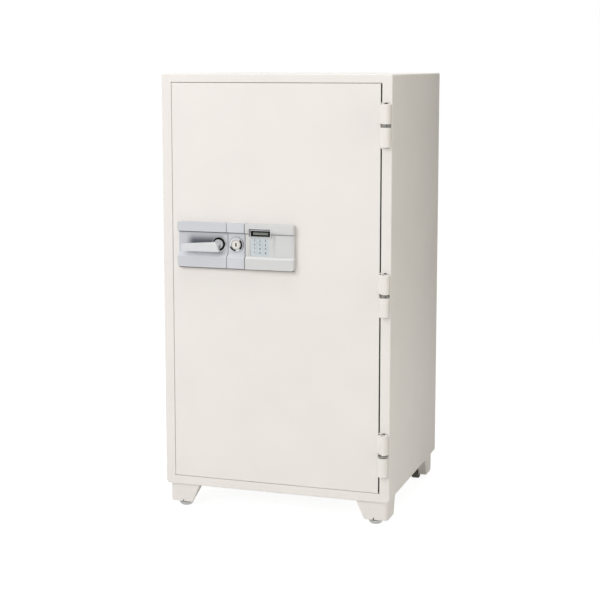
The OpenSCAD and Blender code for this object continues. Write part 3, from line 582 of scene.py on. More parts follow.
def finishes(values):
    """Every finish: those of the record's material slots by their names, and a few more."""
    sizes = bpy.context.scene.safe_panel
    upright, sideways = (1, 1, 0.15), (0.2, 1, 1)
    return {
        "paint": powder_coat("powder_coat", values.paint, values.paint_rough),
        "inner_paint": powder_coat("satin_paint", values.inner_paint, 0.5),
        "fireproof_fill": mineral("set_fill", (0.55, 0.52, 0.46)),
        "seal": plastic("seal_strip", (0.02, 0.02, 0.02), 0.8),
        "steel": brushed("zinc_steel", (0.46, 0.46, 0.45), 0.34, upright),
        "washer_steel": brushed("washer_steel", (0.30, 0.29, 0.27), 0.24, upright),
        "plug_nickel": plastic("plug_nickel", (0.80, 0.785, 0.75), 0.3, gloss=0.5),
        "chrome": polished("bright_chrome", (0.88, 0.88, 0.87)),
        "silver_moulding": silver_paint("moulding_silver", values.silver),
        # The panel's three silver finishes carry painted light: a painted shadow line under
        # the upper band and a painted highlight on the slope's crest, and the lever plate's
        # also paints shade behind the lever
        "lever_plate_shaded_silver": silver_with_painted_light(
            "lever_plate_shaded_silver", values.silver, (0.19, 0.185, 0.2), sizes.slope,
            "lever_escutcheon", lever_shade=(0.13, 0.145, 0.165)),
        "lock_plate_shaded_silver": silver_with_painted_light(
            "lock_plate_shaded_silver", shade(values.silver, 1.05), (0.27, 0.28, 0.29), sizes.slope,
            "lock_escutcheon"),
        "pad_plate_shaded_silver": silver_with_painted_light(
            "pad_plate_shaded_silver", values.pad_silver, (0.40, 0.40, 0.40), sizes.pad_slope,
            "keypad_housing"),
        "display_frame": silver_paint("display_frame", (0.66, 0.66, 0.69)),
        # Near-black for the painted shade along the display's top and left
        "display_shade_rim": plastic("display_shade_rim", (0.035, 0.037, 0.042), 0.5, gloss=0.1),
        # Brownish grey for the painted shadow under the panel
        "shadow_strip_grey": plastic("shadow_strip_grey", (0.20, 0.18, 0.17), 0.7, gloss=0.1),
        # Grey for painted shade in the panel's joints and round the lock's flange
        "painted_shade_grey": plastic("painted_shade_grey", (0.20, 0.20, 0.215), 0.5),
        "lever_silver": brushed("lever_satin", (0.70, 0.715, 0.735), 0.38, sideways, 0.4),
        "dark_plastic": plastic("dark_moulding", (0.012, 0.012, 0.015), 0.35),
        "gloss_black": plastic("black_gloss", (0.003, 0.003, 0.003), 0.16, gloss=0.12),
        "key_tint": plastic("key_moulding", values.key_tint, 0.45),
        "display_glass": plastic("display_pane", values.glass, 0.12, gloss=0.3),
        "board_green": plastic("board_lacquer", (0.01, 0.12, 0.04), 0.3),
        "roller_black": plastic("roller_tyre", (0.095, 0.09, 0.075), 0.6),
        "figure_ink": plastic("figure_ink", (0.02, 0.025, 0.035), 0.6, gloss=0.1),
    }


class SAFE_OT_finish_frame(bpy.types.Operator):
    """Gives every construction node the finish of its material slot."""

    bl_idname = "safe.finish_frame"
    bl_label = "Finish the frame"

    def execute(self, context):
        FINISHES.update(finishes(context.scene.safe_finish))
        for name, slot in SLOTS.items():
            materials = frame["nodes"][name].data.materials
            materials.clear()
            materials.append(FINISHES[slot])
        return {"FINISHED"}


# ---- Stage ---------------------------------------------------------------------------


def add_lamp(name, size, power, place, target, colour):
    """A rectangular soft lamp that faces a target."""
    data = bpy.data.lights.new(name, "AREA")
    data.shape = "RECTANGLE"
    data.size, data.size_y = size
    data.energy = power
    data.color = colour
    lamp = bpy.data.objects.new(name, data)
    bpy.context.scene.collection.objects.link(lamp)
    lamp.location = place
    lamp.rotation_euler = (Vector(target) - Vector(place)).to_track_quat("-Z", "Y").to_euler()
    lamp.visible_camera = False
    lamp.visible_glossy = False


def add_card(name, low, high, grey):
    """A dark card outside the view that keeps light off, as in a studio."""
    card = add_block(name, low, high)
    card.data.materials.append(shader(name, (grey,) * 3, 0.9, Specular_IOR_Level=0)[0])
    card.visible_camera = False
    return card


def seen_as_white(tree, surface, white, share):
    """Mixes in a share of plain white for the eye, for mirrors and through glass."""
    rays = tree.nodes.new("ShaderNodeLightPath").outputs
    either = reckon(tree, "MAXIMUM", rays["Is Camera Ray"], rays["Is Glossy Ray"])
    any_ray = reckon(tree, "MAXIMUM", either, rays["Is Transmission Ray"])
    mix = add_node(tree, "MixShader", Fac=reckon(tree, "MULTIPLY", any_ray, share))
    tree.links.new(surface.outputs[0], mix.inputs[1])
    tree.links.new(white.outputs[0], mix.inputs[2])
    return mix.outputs[0]


class SAFE_OT_stage(bpy.types.Operator):
    """Sets the camera, the lamps, the world and a pale floor."""

    bl_idname = "safe.stage"
    bl_label = "Stage"

    def execute(self, context):
        values = context.scene.safe_stage
        self.camera(context, values)
        self.surroundings(context, values)
        front, top = front_y(), CAD_BOX[1].z
        plain, warm = (1, 1, 1), (1, 0.96, 0.82)
        for name, size, power, place, target, colour in (
                ("key_lamp", (3.2, 2.8), values.key_power, (-1.5, front - 4.2, 2.8),
                 (0, front, top / 2), plain),
                ("side_lamp", (0.5, 2.0), values.side_power, (1.8, front - 0.3, 1.2),
                 (0.38, front + 0.1, 0.95), warm),
                ("top_lamp", (3.0, 3.0), values.top_power, (0, front, 4.4),
                 (0, 0, top), plain)):
            add_lamp(name, size, power, place, target, colour)
        add_card("side_flag", (1.4, 0.6, 0.01), (1.42, 5.5, 2.6), 0.04)
        # These show only in the mirror of glossy surfaces
        for name, low, high in (
                ("card_right", (1.7, front - 2.4, 0.1), (1.72, front - 0.9, 1.3)),
                ("card_left", (-1.2, front - 0.7, 0.01), (-1.18, front + 0.3, 0.7)),
                ("card_high", (0.4, front - 1.7, 2.0), (1.3, front - 1.6, 2.8))):
            card = add_card(name, low, high, 0.02)
            card.visible_diffuse = False
            card.visible_shadow = False
            card.visible_transmission = False
        context.scene.view_settings.view_transform = "Standard"
        return {"FINISHED"}

    def camera(self, context, values):
        """The camera, placed before the cabinet's front and turned by the settings."""
        data = bpy.data.cameras.new("camera")
        data.lens = values.lens
        data.sensor_width = 36
        data.shift_y = values.shift
        camera = bpy.data.objects.new("camera", data)
        context.scene.collection.objects.link(camera)
        camera.location = (values.eye_x, front_y() - values.eye_y, values.eye_z)
        camera.rotation_euler = (math.pi / 2 - values.pitch, 0, values.yaw)
        context.scene.camera = camera

    def surroundings(self, context, values):
        """The even light from all round, and the floor."""
        world = bpy.data.worlds.new("studio")
        context.scene.world = world
        world.use_nodes = True
        tree = world.node_tree
        tree.nodes.clear()
        light = add_node(tree, "Background", Color=(1, 0.975, 0.90, 1), Strength=values.sky)
        white = add_node(tree, "Background", Color=(1, 1, 1, 1))
        add_node(tree, "OutputWorld", Surface=seen_as_white(tree, light, white, 1.0))
        deselect()
        bpy.ops.mesh.primitive_plane_add(size=60, location=(0, 0, 0))
        floor = bpy.context.object
        floor.name = "floor"
        material, tree, surface = shader("floor_white", (0.9, 0.9, 0.9), 0.8,
                                         Specular_IOR_Level=0.1)
        glow = add_node(tree, "Emission", Strength=values.floor_glow)
        seen = seen_as_white(tree, surface, glow, values.floor_white)
        tree.links.new(seen, tree.nodes["Material Output"].inputs["Surface"])
        floor.data.materials.append(material)


# ---- Control panel -------------------------------------------------------------------


def widened(box, left=0.0, right=0.0, under=0.0, over=0.0, front=None, back=None):
    """A box's corners moved out by millimetres to its left and right, below and above.

    front and back, where they are given, are the Y of its new faces.
    """
    low = box[0] - Vector((left, 0, under)) * MM
    high = box[1] + Vector((right, 0, over)) * MM
    if front is not None:
        low.y = front
    if back is not None:
        high.y = back
    return low, high


def section(name, low, high, out, mid_out, slope, round_left=False, round_right=False):
    """One moulded section between two corners: two proud bands with a hollow between them."""
    sizes = bpy.context.scene.safe_panel
    face = high.y
    piece = add_block(name, (low.x, face - out, low.z), (high.x, face, high.z))
    crest, ledge = low.z + sizes.band_low, high.z - sizes.band_top
    for z in (crest, crest + slope, ledge, ledge + sizes.ledge_draft):
        cut_across(piece, (0, 0, z), (0, 0, 1))
    with chosen(piece, "VERT", lambda p: p.y < face - out / 2
                and crest + slope - SLACK < p.z < ledge + SLACK):
        bpy.ops.transform.translate(value=(0, out - mid_out, 0))
    ends = [low.x] * round_left + [high.x] * round_right

    def at_corner(place, direction):
        return (runs_deep(place, direction) and any(abs(place.x - end) < SLACK for end in ends)
                and min(abs(place.z - low.z), abs(place.z - high.z)) < SLACK)

    with chosen(piece, "EDGE", at_corner):
        bpy.ops.mesh.bevel(offset=sizes.corner, segments=6)
    return piece


class SafePanel(bpy.types.PropertyGroup):
    """Sizes of the control panel's mouldings."""

    band_low: bpy.props.FloatProperty(
        name="Lower band", description="Height of the band along the lower edge",
        default=0.034, **LENGTH)
    band_top: bpy.props.FloatProperty(
        name="Upper band", description="Height of the band along the upper edge",
        default=0.031, **LENGTH)
    band_out: bpy.props.FloatProperty(
        name="Band relief", description="How far the lever section's bands stand proud",
        default=0.018, **LENGTH)
    valley_out: bpy.props.FloatProperty(
        name="Hollow relief", description="How far the hollow between the bands stands proud",
        default=0.003, **LENGTH)
    slope: bpy.props.FloatProperty(
        name="Slope", description="Height of the slope from the lower band into the hollow",
        default=0.013, **LENGTH)
    pad_out: bpy.props.FloatProperty(
        name="Keypad relief", description="How far the keypad section's bands stand proud",
        default=0.025, **LENGTH)
    pad_mid_out: bpy.props.FloatProperty(
        name="Keypad middle", description="How far the keypad section's middle stands proud",
        default=0.019, **LENGTH)
    pad_slope: bpy.props.FloatProperty(
        name="Keypad slope", description="Height of the slope on the keypad section",
        default=0.006, **LENGTH)
    ledge_draft: bpy.props.FloatProperty(
        name="Ledge draft", description="Height over which the upper band's lower side leans",
        default=0.0012, **LENGTH)
    corner: bpy.props.FloatProperty(
        name="Corner", description="Radius of the panel's end corners",
        default=0.006, **LENGTH)
    edge: bpy.props.FloatProperty(
        name="Edge", description="Radius of the mouldings' edges",
        default=0.0012, **LENGTH)
    trim: bpy.props.FloatProperty(
        name="Seam trim", description="How far each section stands back from its seam",
        default=0.0005, **LENGTH)


class SAFE_OT_panel(bpy.types.Operator):
    """Moulds the three sections of the control panel."""

    bl_idname = "safe.panel"
    bl_label = "Control panel"

    def execute(self, context):
        sizes = context.scene.safe_panel
        lever, lock, pad = (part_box(node) for node in
                            ("lever_escutcheon", "lock_escutcheon", "keypad_housing"))
        trim = Vector((sizes.trim, 0, 0))
        flat = (sizes.band_out, sizes.valley_out, sizes.slope)
        proud = (sizes.pad_out, sizes.pad_mid_out, sizes.pad_slope)
        lever_plate = section("lever_plate", lever[0], lever[1] - trim, *flat, round_left=True)
        lock_plate = section("lock_plate", lock[0] + trim, lock[1] - trim, *flat)
        pad_plate = section("pad_plate", pad[0] + 2 * trim, pad[1], *proud, round_right=True)
        for plate in (lever_plate, lock_plate, pad_plate):
            soften(plate, sizes.edge, 3, 25)
        stand_for(lever_plate, "lever_plate_shaded_silver", "lever_escutcheon")
        stand_for(lock_plate, "lock_plate_shaded_silver", "lock_escutcheon")
        set_back = 0.8 * MM
        # Dark grey strips fill the seams between the sections: painted shade in the joints
        for name, left, right, (out, mid_out, slope) in (
                ("lever_seam", lever[1] - trim, lock[0] + trim, flat),
                ("keypad_seam", lock[1] - trim, pad[0] + 2 * trim, proud)):
            low = Vector((left.x, 0, lever[0].z + set_back))
            high = Vector((right.x, lever[1].y, lever[1].z - set_back))
            strip = section(name, low, high, out - set_back, mid_out - set_back, slope)
            dress(even_shading(strip), "painted_shade_grey", "door", "silver_moulding")
        # A dark strip under the panel paints its cast shadow
        self.shadow_strip(lever[0], pad[1])
        self.keypad_front(sizes, pad_plate)
        return {"FINISHED"}

    def shadow_strip(self, low, high):
        """A dark strip along the panel's lower edge that paints the panel's cast shadow."""
        depth, lip, inset = 14 * MM, 3.2 * MM, 4 * MM
        seat = add_block("panel_shadow_strip", (low.x + inset, high.y - depth, low.z - lip),
                         (high.x - inset, high.y, low.z))
        dress(soften(seat, FITTING_EDGE, 2), "shadow_strip_grey", "door", "seal")

    def keypad_front(self, sizes, plate):
        """Adds the display's hood, and lets the display, cover and keys into the housing."""
        housing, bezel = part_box("keypad_housing"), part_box("display_bezel")
        front, mid = housing[0].y, housing[1].y - sizes.pad_mid_out
        root, depth, past = 2 * MM, 1 * MM, 5 * MM
        hood = add_block("hood", *widened(bezel, 6.5, 4.5, 1.5, 8.5, front, mid + root))
        merge(plate, soften(hood, sizes.edge, 3))
        mouth = widened(bezel, 5, 1.5, 0.2, 7, front)
        well = add_block("well", mouth[0] - Vector((0, past, 0)), mouth[1])
        joint = add_block("joint", *widened(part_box("battery_cover"), 0.25, 0.25, 0.25, 0.25,
                                            mid - depth, mid + depth))
        bed = add_block("bed", *widened(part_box("keypad_surround"), front=mid - depth,
                                        back=mid + depth))
        cut_away(plate, well, joint, bed)
        make_active(plate)
        bpy.ops.object.shade_smooth_by_angle(angle=math.radians(40))
        stand_for(plate, "pad_plate_shaded_silver", "keypad_housing")
        self.display_frame(*mouth, *bezel)
        for name, node, edge, finish in (
                ("cover_plate", "battery_cover", 0.8 * MM, "pad_plate_shaded_silver"),
                ("pad_surround", "keypad_surround", FITTING_EDGE, "key_tint")):
            stand_for(soften(add_block(name, *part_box(node)), edge, 3), finish, node)
        self.display(*bezel)

    def display_frame(self, low, high, bezel_low, bezel_high):
        """A frame that leads in to the display, with a dark rim along its top and left that
        paints the shade of the recess's walls.
        """
        fit, rim, past = 0.2 * MM, 2.5 * MM, 5 * MM
        edge_back, lead_back, lead_edge = 0.6 * MM, 1.2 * MM, 0.3 * MM
        flare = (1.06, 1, 1.25)
        # Near-black rim on the top and left only: painted shade of the display recess's walls
        edge = add_block("display_shade_rim", low + Vector((0, edge_back, 0)), high)
        hole = add_block("hole", low + Vector((rim, -past, -past)),
                         high + Vector((past, past, -rim)))
        cut_away(edge, hole)
        dress(even_shading(edge), "display_shade_rim", "door", "silver_moulding")
        lead = add_block("display_lead", low + Vector((rim, lead_back, 0)),
                         high - Vector((0, 0, rim)))
        with chosen(lead, "FACE", faces_front):
            bpy.ops.mesh.inset(thickness=lead_edge)
        hole = add_block("hole", (bezel_low.x - fit, low.y - past, low.z - past),
                         (bezel_high.x + fit, high.y + past, bezel_high.z + fit))
        with chosen(hole, "VERT", lambda p: p.y < low.y and p.z > low.z):
            bpy.ops.transform.resize(
                value=flare, center_override=((low.x + high.x) / 2, low.y, bezel_low.z))
        cut_away(lead, hole)
        dress(even_shading(lead), "display_frame", "door", "silver_moulding")

    def display(self, low, high):
        """The display's black rim, sloping in to the glass, and the glass."""
        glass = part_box("display_window")
        rim_edge, past, flare = 1.2 * MM, 2 * MM, (1.03, 1, 1.1)
        rim = add_block("display_rim", low, high)
        with chosen(rim, "FACE", faces_front):
            bpy.ops.mesh.inset(thickness=rim_edge)
        window = add_block("window_cut", *widened(glass, 0, 0, -0.9, -0.9, low.y - past,
                                                  high.y + past))
        with chosen(window, "FACE", faces_front):
            bpy.ops.transform.resize(value=flare)
        cut_away(rim, window)
        stand_for(soften(rim, TURNED_EDGE, 2), "gloss_black", "display_bezel")
        pane = add_block("display_glass", *glass)
        stand_for(soften(pane, TRIM_EDGE, 2), "display_glass", "display_window")


# ---- Keys ----------------------------------------------------------------------------


def figure(name, text, height, place):
    """A flat figure on the front, a touch proud of its place."""
    deselect()
    bpy.ops.object.text_add(location=(0, 0, 0))
    piece = bpy.context.object
    piece.name = name
    piece.data.body = text
    piece.data.size = height
    piece.data.align_x = "CENTER"
    piece.data.align_y = "CENTER"
    piece.data.extrude = 0.1 * MM
    piece.data.offset = 0.18 * MM
    bpy.ops.object.convert(target="MESH")
    piece = bpy.context.object
    piece.rotation_euler = (math.pi / 2, 0, 0)
    piece.location = place
    settle(piece)
    with all_chosen(piece):
        bpy.ops.mesh.remove_doubles(threshold=0.002 * MM)
        bpy.ops.mesh.normals_make_consistent(inside=False)
    return piece


class SAFE_OT_keys(bpy.types.Operator):
    """Shapes the twelve keys and prints their figures."""

    bl_idname = "safe.keys"
    bl_label = "Keys"

    def execute(self, context):
        corner, figure_height = 2 * MM, 8.5 * MM
        for number, sign in enumerate("123456789*0#", 1):
            node = f"key_{number}"
            low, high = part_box(node)
            cap = round_corners(add_block(f"key_cap_{number}", low, high), corner, 5)
            stand_for(soften(cap, FITTING_EDGE, 3), "key_tint", node)
            middle = (low + high) / 2
            mark = figure(f"key_figure_{number}", sign, figure_height,
                          (middle.x, low.y, middle.z))
            dress(mark, "figure_ink", node, "dark_plastic")
        return {"FINISHED"}


# ---- Lever ---------------------------------------------------------------------------


class SafeLever(bpy.types.PropertyGroup):
    """Sizes of the lever."""

    hub: bpy.props.FloatProperty(
        name="Hub", description="Radius of the lever's hub",
        default=0.015, **LENGTH)
    hub_out: bpy.props.FloatProperty(
        name="Hub height", description="How far the hub stands out of the rose",
        default=0.006, **LENGTH)
    neck: bpy.props.FloatProperty(
        name="Neck", description="Radius of the neck between the hub and the arm",
        default=0.009, **LENGTH)
    arm: bpy.props.FloatProperty(
        name="Arm thickness", description="Thickness of the lever's arm",
        default=0.012, **LENGTH)
    root_up: bpy.props.FloatProperty(
        name="Root height", description="How far the arm's root rises above the pivot",
        default=0.009, **LENGTH)
    past: bpy.props.FloatProperty(
        name="Past the pivot", description="How far the arm runs on past the pivot",
        default=0.010, **LENGTH)
    lean: bpy.props.FloatProperty(
        name="Lean", description="How far the arm's end leans back at the top",
        default=0.011, **LENGTH)
    facet: bpy.props.FloatProperty(
        name="Facet", description="Width of the facet along the arm's upper edge",
        default=0.004, **LENGTH)
    corner: bpy.props.FloatProperty(
        name="Corner", description="Radius of the arm's corners, seen from the front",
        default=0.005, **LENGTH)


class SAFE_OT_lever(bpy.types.Operator):
    """Shapes the lever with its hub and facet."""

    bl_idname = "safe.lever"
    bl_label = "Lever"

    def execute(self, context):
        sizes = context.scene.safe_lever
        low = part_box("lever_handle")[0]
        rose_low, rose_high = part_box("lever_rose")
        rose, pivot = rose_low.y, (rose_low + rose_high) / 2
        top = pivot.z + sizes.root_up
        arm = add_block("lever_arm", low, (pivot.x + sizes.past, low.y + sizes.arm, top))
        with chosen(arm, "VERT", lambda p: p.x < low.x + SLACK and p.z > pivot.z):
            bpy.ops.transform.translate(value=(0, 0, pivot.z - top))
        with chosen(arm, "VERT", lambda p: p.x > pivot.x and p.z > pivot.z):
            bpy.ops.transform.translate(value=(-sizes.lean, 0, 0))
        round_corners(arm, sizes.corner, 6)

        def along_top(place, direction):
            return (abs(direction.x) > ALIGNED and place.y < low.y + SLACK
                    and place.z > pivot.z - sizes.arm / 2)

        with chosen(arm, "EDGE", along_top):
            bpy.ops.mesh.bevel(offset=sizes.facet, segments=1)
        clear, rim, slope, dish = 0.3 * MM, 2 * MM, 4 * MM, 2.5 * MM
        hub = add_disc("lever_hub", sizes.hub, rose - sizes.hub_out, rose - clear,
                       pivot.x, pivot.z)
        with chosen(hub, "FACE", faces_front):
            bpy.ops.mesh.inset(thickness=rim)
            bpy.ops.mesh.inset(thickness=slope)
            bpy.ops.transform.translate(value=(0, dish, 0))
        root, to_left, edge = 1 * MM, 3 * MM, 1 * MM
        neck = add_disc("neck", sizes.neck, low.y + sizes.arm / 2, rose - root,
                        pivot.x - to_left, pivot.z)
        merge(arm, neck, hub)
        stand_for(soften(arm, edge, 3, 25), "lever_silver", "lever_handle")
        return {"FINISHED"}


# ---- Rose and key lock ---------------------------------------------------------------


class SafeLock(bpy.types.PropertyGroup):
    """Sizes of the lever's rose and the key lock's ring."""

    rose_inner: bpy.props.FloatProperty(
        name="Rose opening",
        description="Inner radius of the bright ring round the lever's hub",
        default=0.0208, **LENGTH)
    ring_inner: bpy.props.FloatProperty(
        name="Lock ring opening",
        description="Inner radius of the bright ring round the key plug",
        default=0.0152, **LENGTH)
    ring_step: bpy.props.FloatProperty(
        name="Lock ring step",
        description="Radius at which the lock's face steps down to its flange",
        default=0.0216, **LENGTH)


def bead(inner, outer, seat, proud, steps=8):
    """Rows for a ring with a half-round section between two radii."""
    middle, half = (inner + outer) / 2, (outer - inner) / 2
    rows = [(outer, seat)]
    for step in range(steps + 1):
        angle = math.pi * step / steps
        rows.append((middle + half * math.cos(angle),
                     seat - proud * (0.35 + 0.65 * math.sin(angle))))
    return rows + [(inner, seat)]


def flat_ring(name, inner, outer, y_front, y_back, x, z):
    """A ring of square section."""
    return turned(name, [(outer, y_back), (outer, y_front), (inner, y_front), (inner, y_back)],
                  x, z)


def ring_arc(piece, x, z, start, end):
    """Keeps part of a ring, between two angles in degrees, counted from +X up."""
    start, end = math.radians(start), math.radians(end)
    cut_off(piece, (x, 0, z), (math.sin(start), 0, -math.cos(start)))
    cut_off(piece, (x, 0, z), (-math.sin(end), 0, math.cos(end)))
    return even_shading(piece)


class SAFE_OT_lock(bpy.types.Operator):
    """Turns the lever's rose, the lock's ring and the key plug with its slot."""

    bl_idname = "safe.lock"
    bl_label = "Rose and key lock"

    def execute(self, context):
        sizes = context.scene.safe_lock
        low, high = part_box("lever_rose")
        middle, outer, seat = (low + high) / 2, (high.x - low.x) / 2, high.y
        rose = turned("lever_ring", bead(sizes.rose_inner, outer, seat, seat - low.y),
                      middle.x, middle.z)
        stand_for(rose, "chrome", "lever_rose")
        bush_low, bush_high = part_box("spindle_bush")
        fit, shoulder, crown, wall, behind = 0.2 * MM, 0.6 * MM, 1 * MM, 2 * MM, 0.5 * MM
        front, bush = bush_low.y, (bush_high.x - bush_low.x) / 2 - fit
        collar = turned("bush_collar", [
            (sizes.rose_inner, seat), (sizes.rose_inner, front - shoulder),
            (bush - crown, front - crown), (bush - wall, front), (bush - wall, seat)],
            middle.x, middle.z)
        dress(collar, "gloss_black", "door", "dark_plastic")
        self.lock_ring(sizes, seat)
        self.key_plug()
        body = clean_copy("lock_body", "lock_cylinder")
        cut_off(body, (0, seat + behind, 0), (0, -1, 0))
        stand_for(soften(body, TURNED_EDGE, 2), "chrome", "lock_cylinder")
        return {"FINISHED"}

    def lock_ring(self, sizes, seat):
        """The lock's flange and bevelled ring, with a grey ring that paints the flange's
        shadow and two black arcs that paint a dark reflection in its face.
        """
        low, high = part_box("lock_cylinder")
        middle, outer = (low + high) / 2, (high.x - low.x) / 2
        inner, step = sizes.ring_inner, sizes.ring_step
        flange, face = seat - 2.2 * MM, low.y + 1.6 * MM
        edge, bevel, lap, shows, thick = 0.5 * MM, 0.6 * MM, 1 * MM, 1.1 * MM, 0.6 * MM
        ring = turned("lock_ring", [
            (outer, seat), (outer, flange + edge), (outer - edge, flange), (step, flange),
            (step, face + edge), (step - edge, face), (inner + bevel, face),
            (inner, face + bevel), (inner, seat)], middle.x, middle.z)
        dress(even_shading(ring, 25), "lever_silver", "door", "chrome")
        # A grey ring round the flange's edge paints the flange's shadow as a thin outline
        line = flat_ring("lock_shadow_ring", outer - lap, outer + shows, seat - thick, seat,
                         middle.x, middle.z)
        dress(line, "painted_shade_grey", "door", "silver_moulding")
        # Two black arcs, on the right and lower left only, paint a dark reflection in the
        # ring's face
        far, near, proud, depth = 5.4 * MM, 0.4 * MM, 0.1 * MM, 1 * MM
        for number, (start, end) in enumerate(((-50, 48), (198, 268)), 1):
            dark_arc = flat_ring(f"lock_reflection_arc_{number}", step - far, step - near,
                               face - proud, face + depth, middle.x, middle.z)
            ring_arc(dark_arc, middle.x, middle.z, start, end)
            dress(dark_arc, "gloss_black", "door", "dark_plastic")

    def key_plug(self):
        """The plug and its key slot."""
        edge, depth = 0.7 * MM, 3 * MM
        rounded_copy("key_plug_face", "key_plug", edge, "plug_nickel", 3)
        low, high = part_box("lock_cylinder")
        middle, face = (low + high) / 2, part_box("key_plug")[0].y
        half_wide, half_high, proud, corner = 2.2 * MM, 6.2 * MM, 0.12 * MM, 1.8 * MM
        slot = add_block("key_slot",
                         (middle.x - half_wide, face - proud, middle.z - half_high),
                         (middle.x + half_wide, face + depth, middle.z + half_high))
        dress(round_corners(slot, corner, 4), "gloss_black", "key_plug", "dark_plastic")


# ---- Cabinet, door and bolt work -----------------------------------------------------


class SafeEdges(bpy.types.PropertyGroup):
    """Radii of the rounded edges on sheet, cast and turned parts."""

    sheet: bpy.props.FloatProperty(
        name="Sheet", description="Edge radius of folded sheet",
        default=0.0008, **LENGTH)
    body: bpy.props.FloatProperty(
        name="Body", description="Edge radius of the door's and cabinet's outer sheets",
        default=0.0014, **LENGTH)
    part: bpy.props.FloatProperty(
        name="Part", description="Edge radius of bars, bolts, feet and knuckles",
        default=0.001, **LENGTH)


class SAFE_OT_cabinet(bpy.types.Operator):
    """Rounds the cabinet's shell, frame, back, lining and shelves."""

    bl_idname = "safe.cabinet"
    bl_label = "Cabinet"

    def execute(self, context):
        sizes = context.scene.safe_edges
        # The lining's mouth is a face with a hole, which dissolving would fill
        rounded_copy("lining", "inner_liner", sizes.sheet, "inner_paint", 1, whole=False)
        shell = clean_copy("cabinet_shell", "outer_shell")
        merge(shell, clean_copy("back", "back_plate"))
        soften(shell, sizes.body, 3)
        dress(shell, "paint", "cabinet", "paint", "outer_shell", "back_plate")
        round_all([("door_frame", "front_frame", "paint", sizes.body, 2),
                   ("shelves", "shelf_trays", "inner_paint", sizes.sheet, 2),
                   ("shelf_clips", "clips", "steel", sizes.sheet, 1),
                   ("heat_seal", "seal_bead", "seal", sizes.part, 2)])
        return {"FINISHED"}


class SAFE_OT_door(bpy.types.Operator):
    """Rounds the door's sheets and the parts fixed inside it, and closes its gap."""

    bl_idname = "safe.door"
    bl_label = "Door"

    def execute(self, context):
        sizes = context.scene.safe_edges
        round_all([("door_skin", "door_front", "paint", sizes.body, 3),
                   ("door_liner", "door_tray", "inner_paint", sizes.sheet, 1),
                   ("fixed_dogs", "dogs", "steel", sizes.part, 2),
                   ("lock_case", "lock_box", "steel", sizes.part, 2),
                   ("solenoid", "latch_coil", "steel", sizes.part, 2)])
        self.back_cover()
        rounded_copy("screws", "cover_screws", FITTING_EDGE, "steel")
        self.gap_strips()
        return {"FINISHED"}

    def back_cover(self):
        """The cover over the bolt work, with a shallow pressed field."""
        border, slope, sunk = 38 * MM, 5 * MM, 1.2 * MM
        cover = add_block("door_back", *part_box("back_cover"))
        with chosen(cover, "FACE", faces_back):
            bpy.ops.mesh.inset(thickness=border)
            bpy.ops.mesh.inset(thickness=slope)
            bpy.ops.transform.translate(value=(0, -sunk, 0))
        stand_for(soften(cover, FITTING_EDGE, 2, 15), "inner_paint", "back_cover")

    def gap_strips(self):
        """Lips on the frame that narrow the gap on three sides, and on the fourth a black
        strip on the door's edge that paints the gap's shade.
        """
        low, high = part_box("door_skin")
        lip, gap, proud, inset, end = 0.8 * MM, 2.2 * MM, 0.7 * MM, 0.3 * MM, 2 * MM
        lip_front, shade_front, back = (front_y() + depth * MM for depth in (1.2, 1.6, 24))
        for name, finish, body, start, stop in (
                ("lip_left", "paint", "cabinet", (low.x - gap, lip_front, low.z),
                 (low.x - gap + lip, back, high.z)),
                ("lip_top", "paint", "cabinet", (low.x, lip_front, high.z + gap - lip),
                 (high.x, back, high.z + gap)),
                ("lip_bottom", "paint", "cabinet", (low.x, lip_front, low.z - gap),
                 (high.x, back, low.z - gap + lip)),
                # A black strip in the hinge-side gap: painted shade
                ("hinge_gap_shade", "seal", "door", (high.x - inset, shade_front, low.z + end),
                 (high.x + proud, back, high.z - end))):
            dress(soften(add_block(name, start, stop), TRIM_EDGE, 2), finish, body, finish)


class SAFE_OT_bolt_work(bpy.types.Operator):
    """Rounds the bolts, their carriage, the spindle and the plunger."""

    bl_idname = "safe.bolt_work"
    bl_label = "Bolt work"

    def execute(self, context):
        sizes = context.scene.safe_edges
        round_all([("live_bolts", "bolts", "chrome", sizes.part, 2),
                   ("bolt_carriage", "carriage", "steel", sizes.sheet, 1),
                   ("spindle", "lever_spindle", "steel", sizes.sheet, 1),
                   ("plunger", "latch_pin", "steel", sizes.sheet, 2)])
        return {"FINISHED"}


# ---- Hinges --------------------------------------------------------------------------

# Height of each hinge's lower end above the floor
HINGE_FEET = (0.170, 0.6785, 1.203)


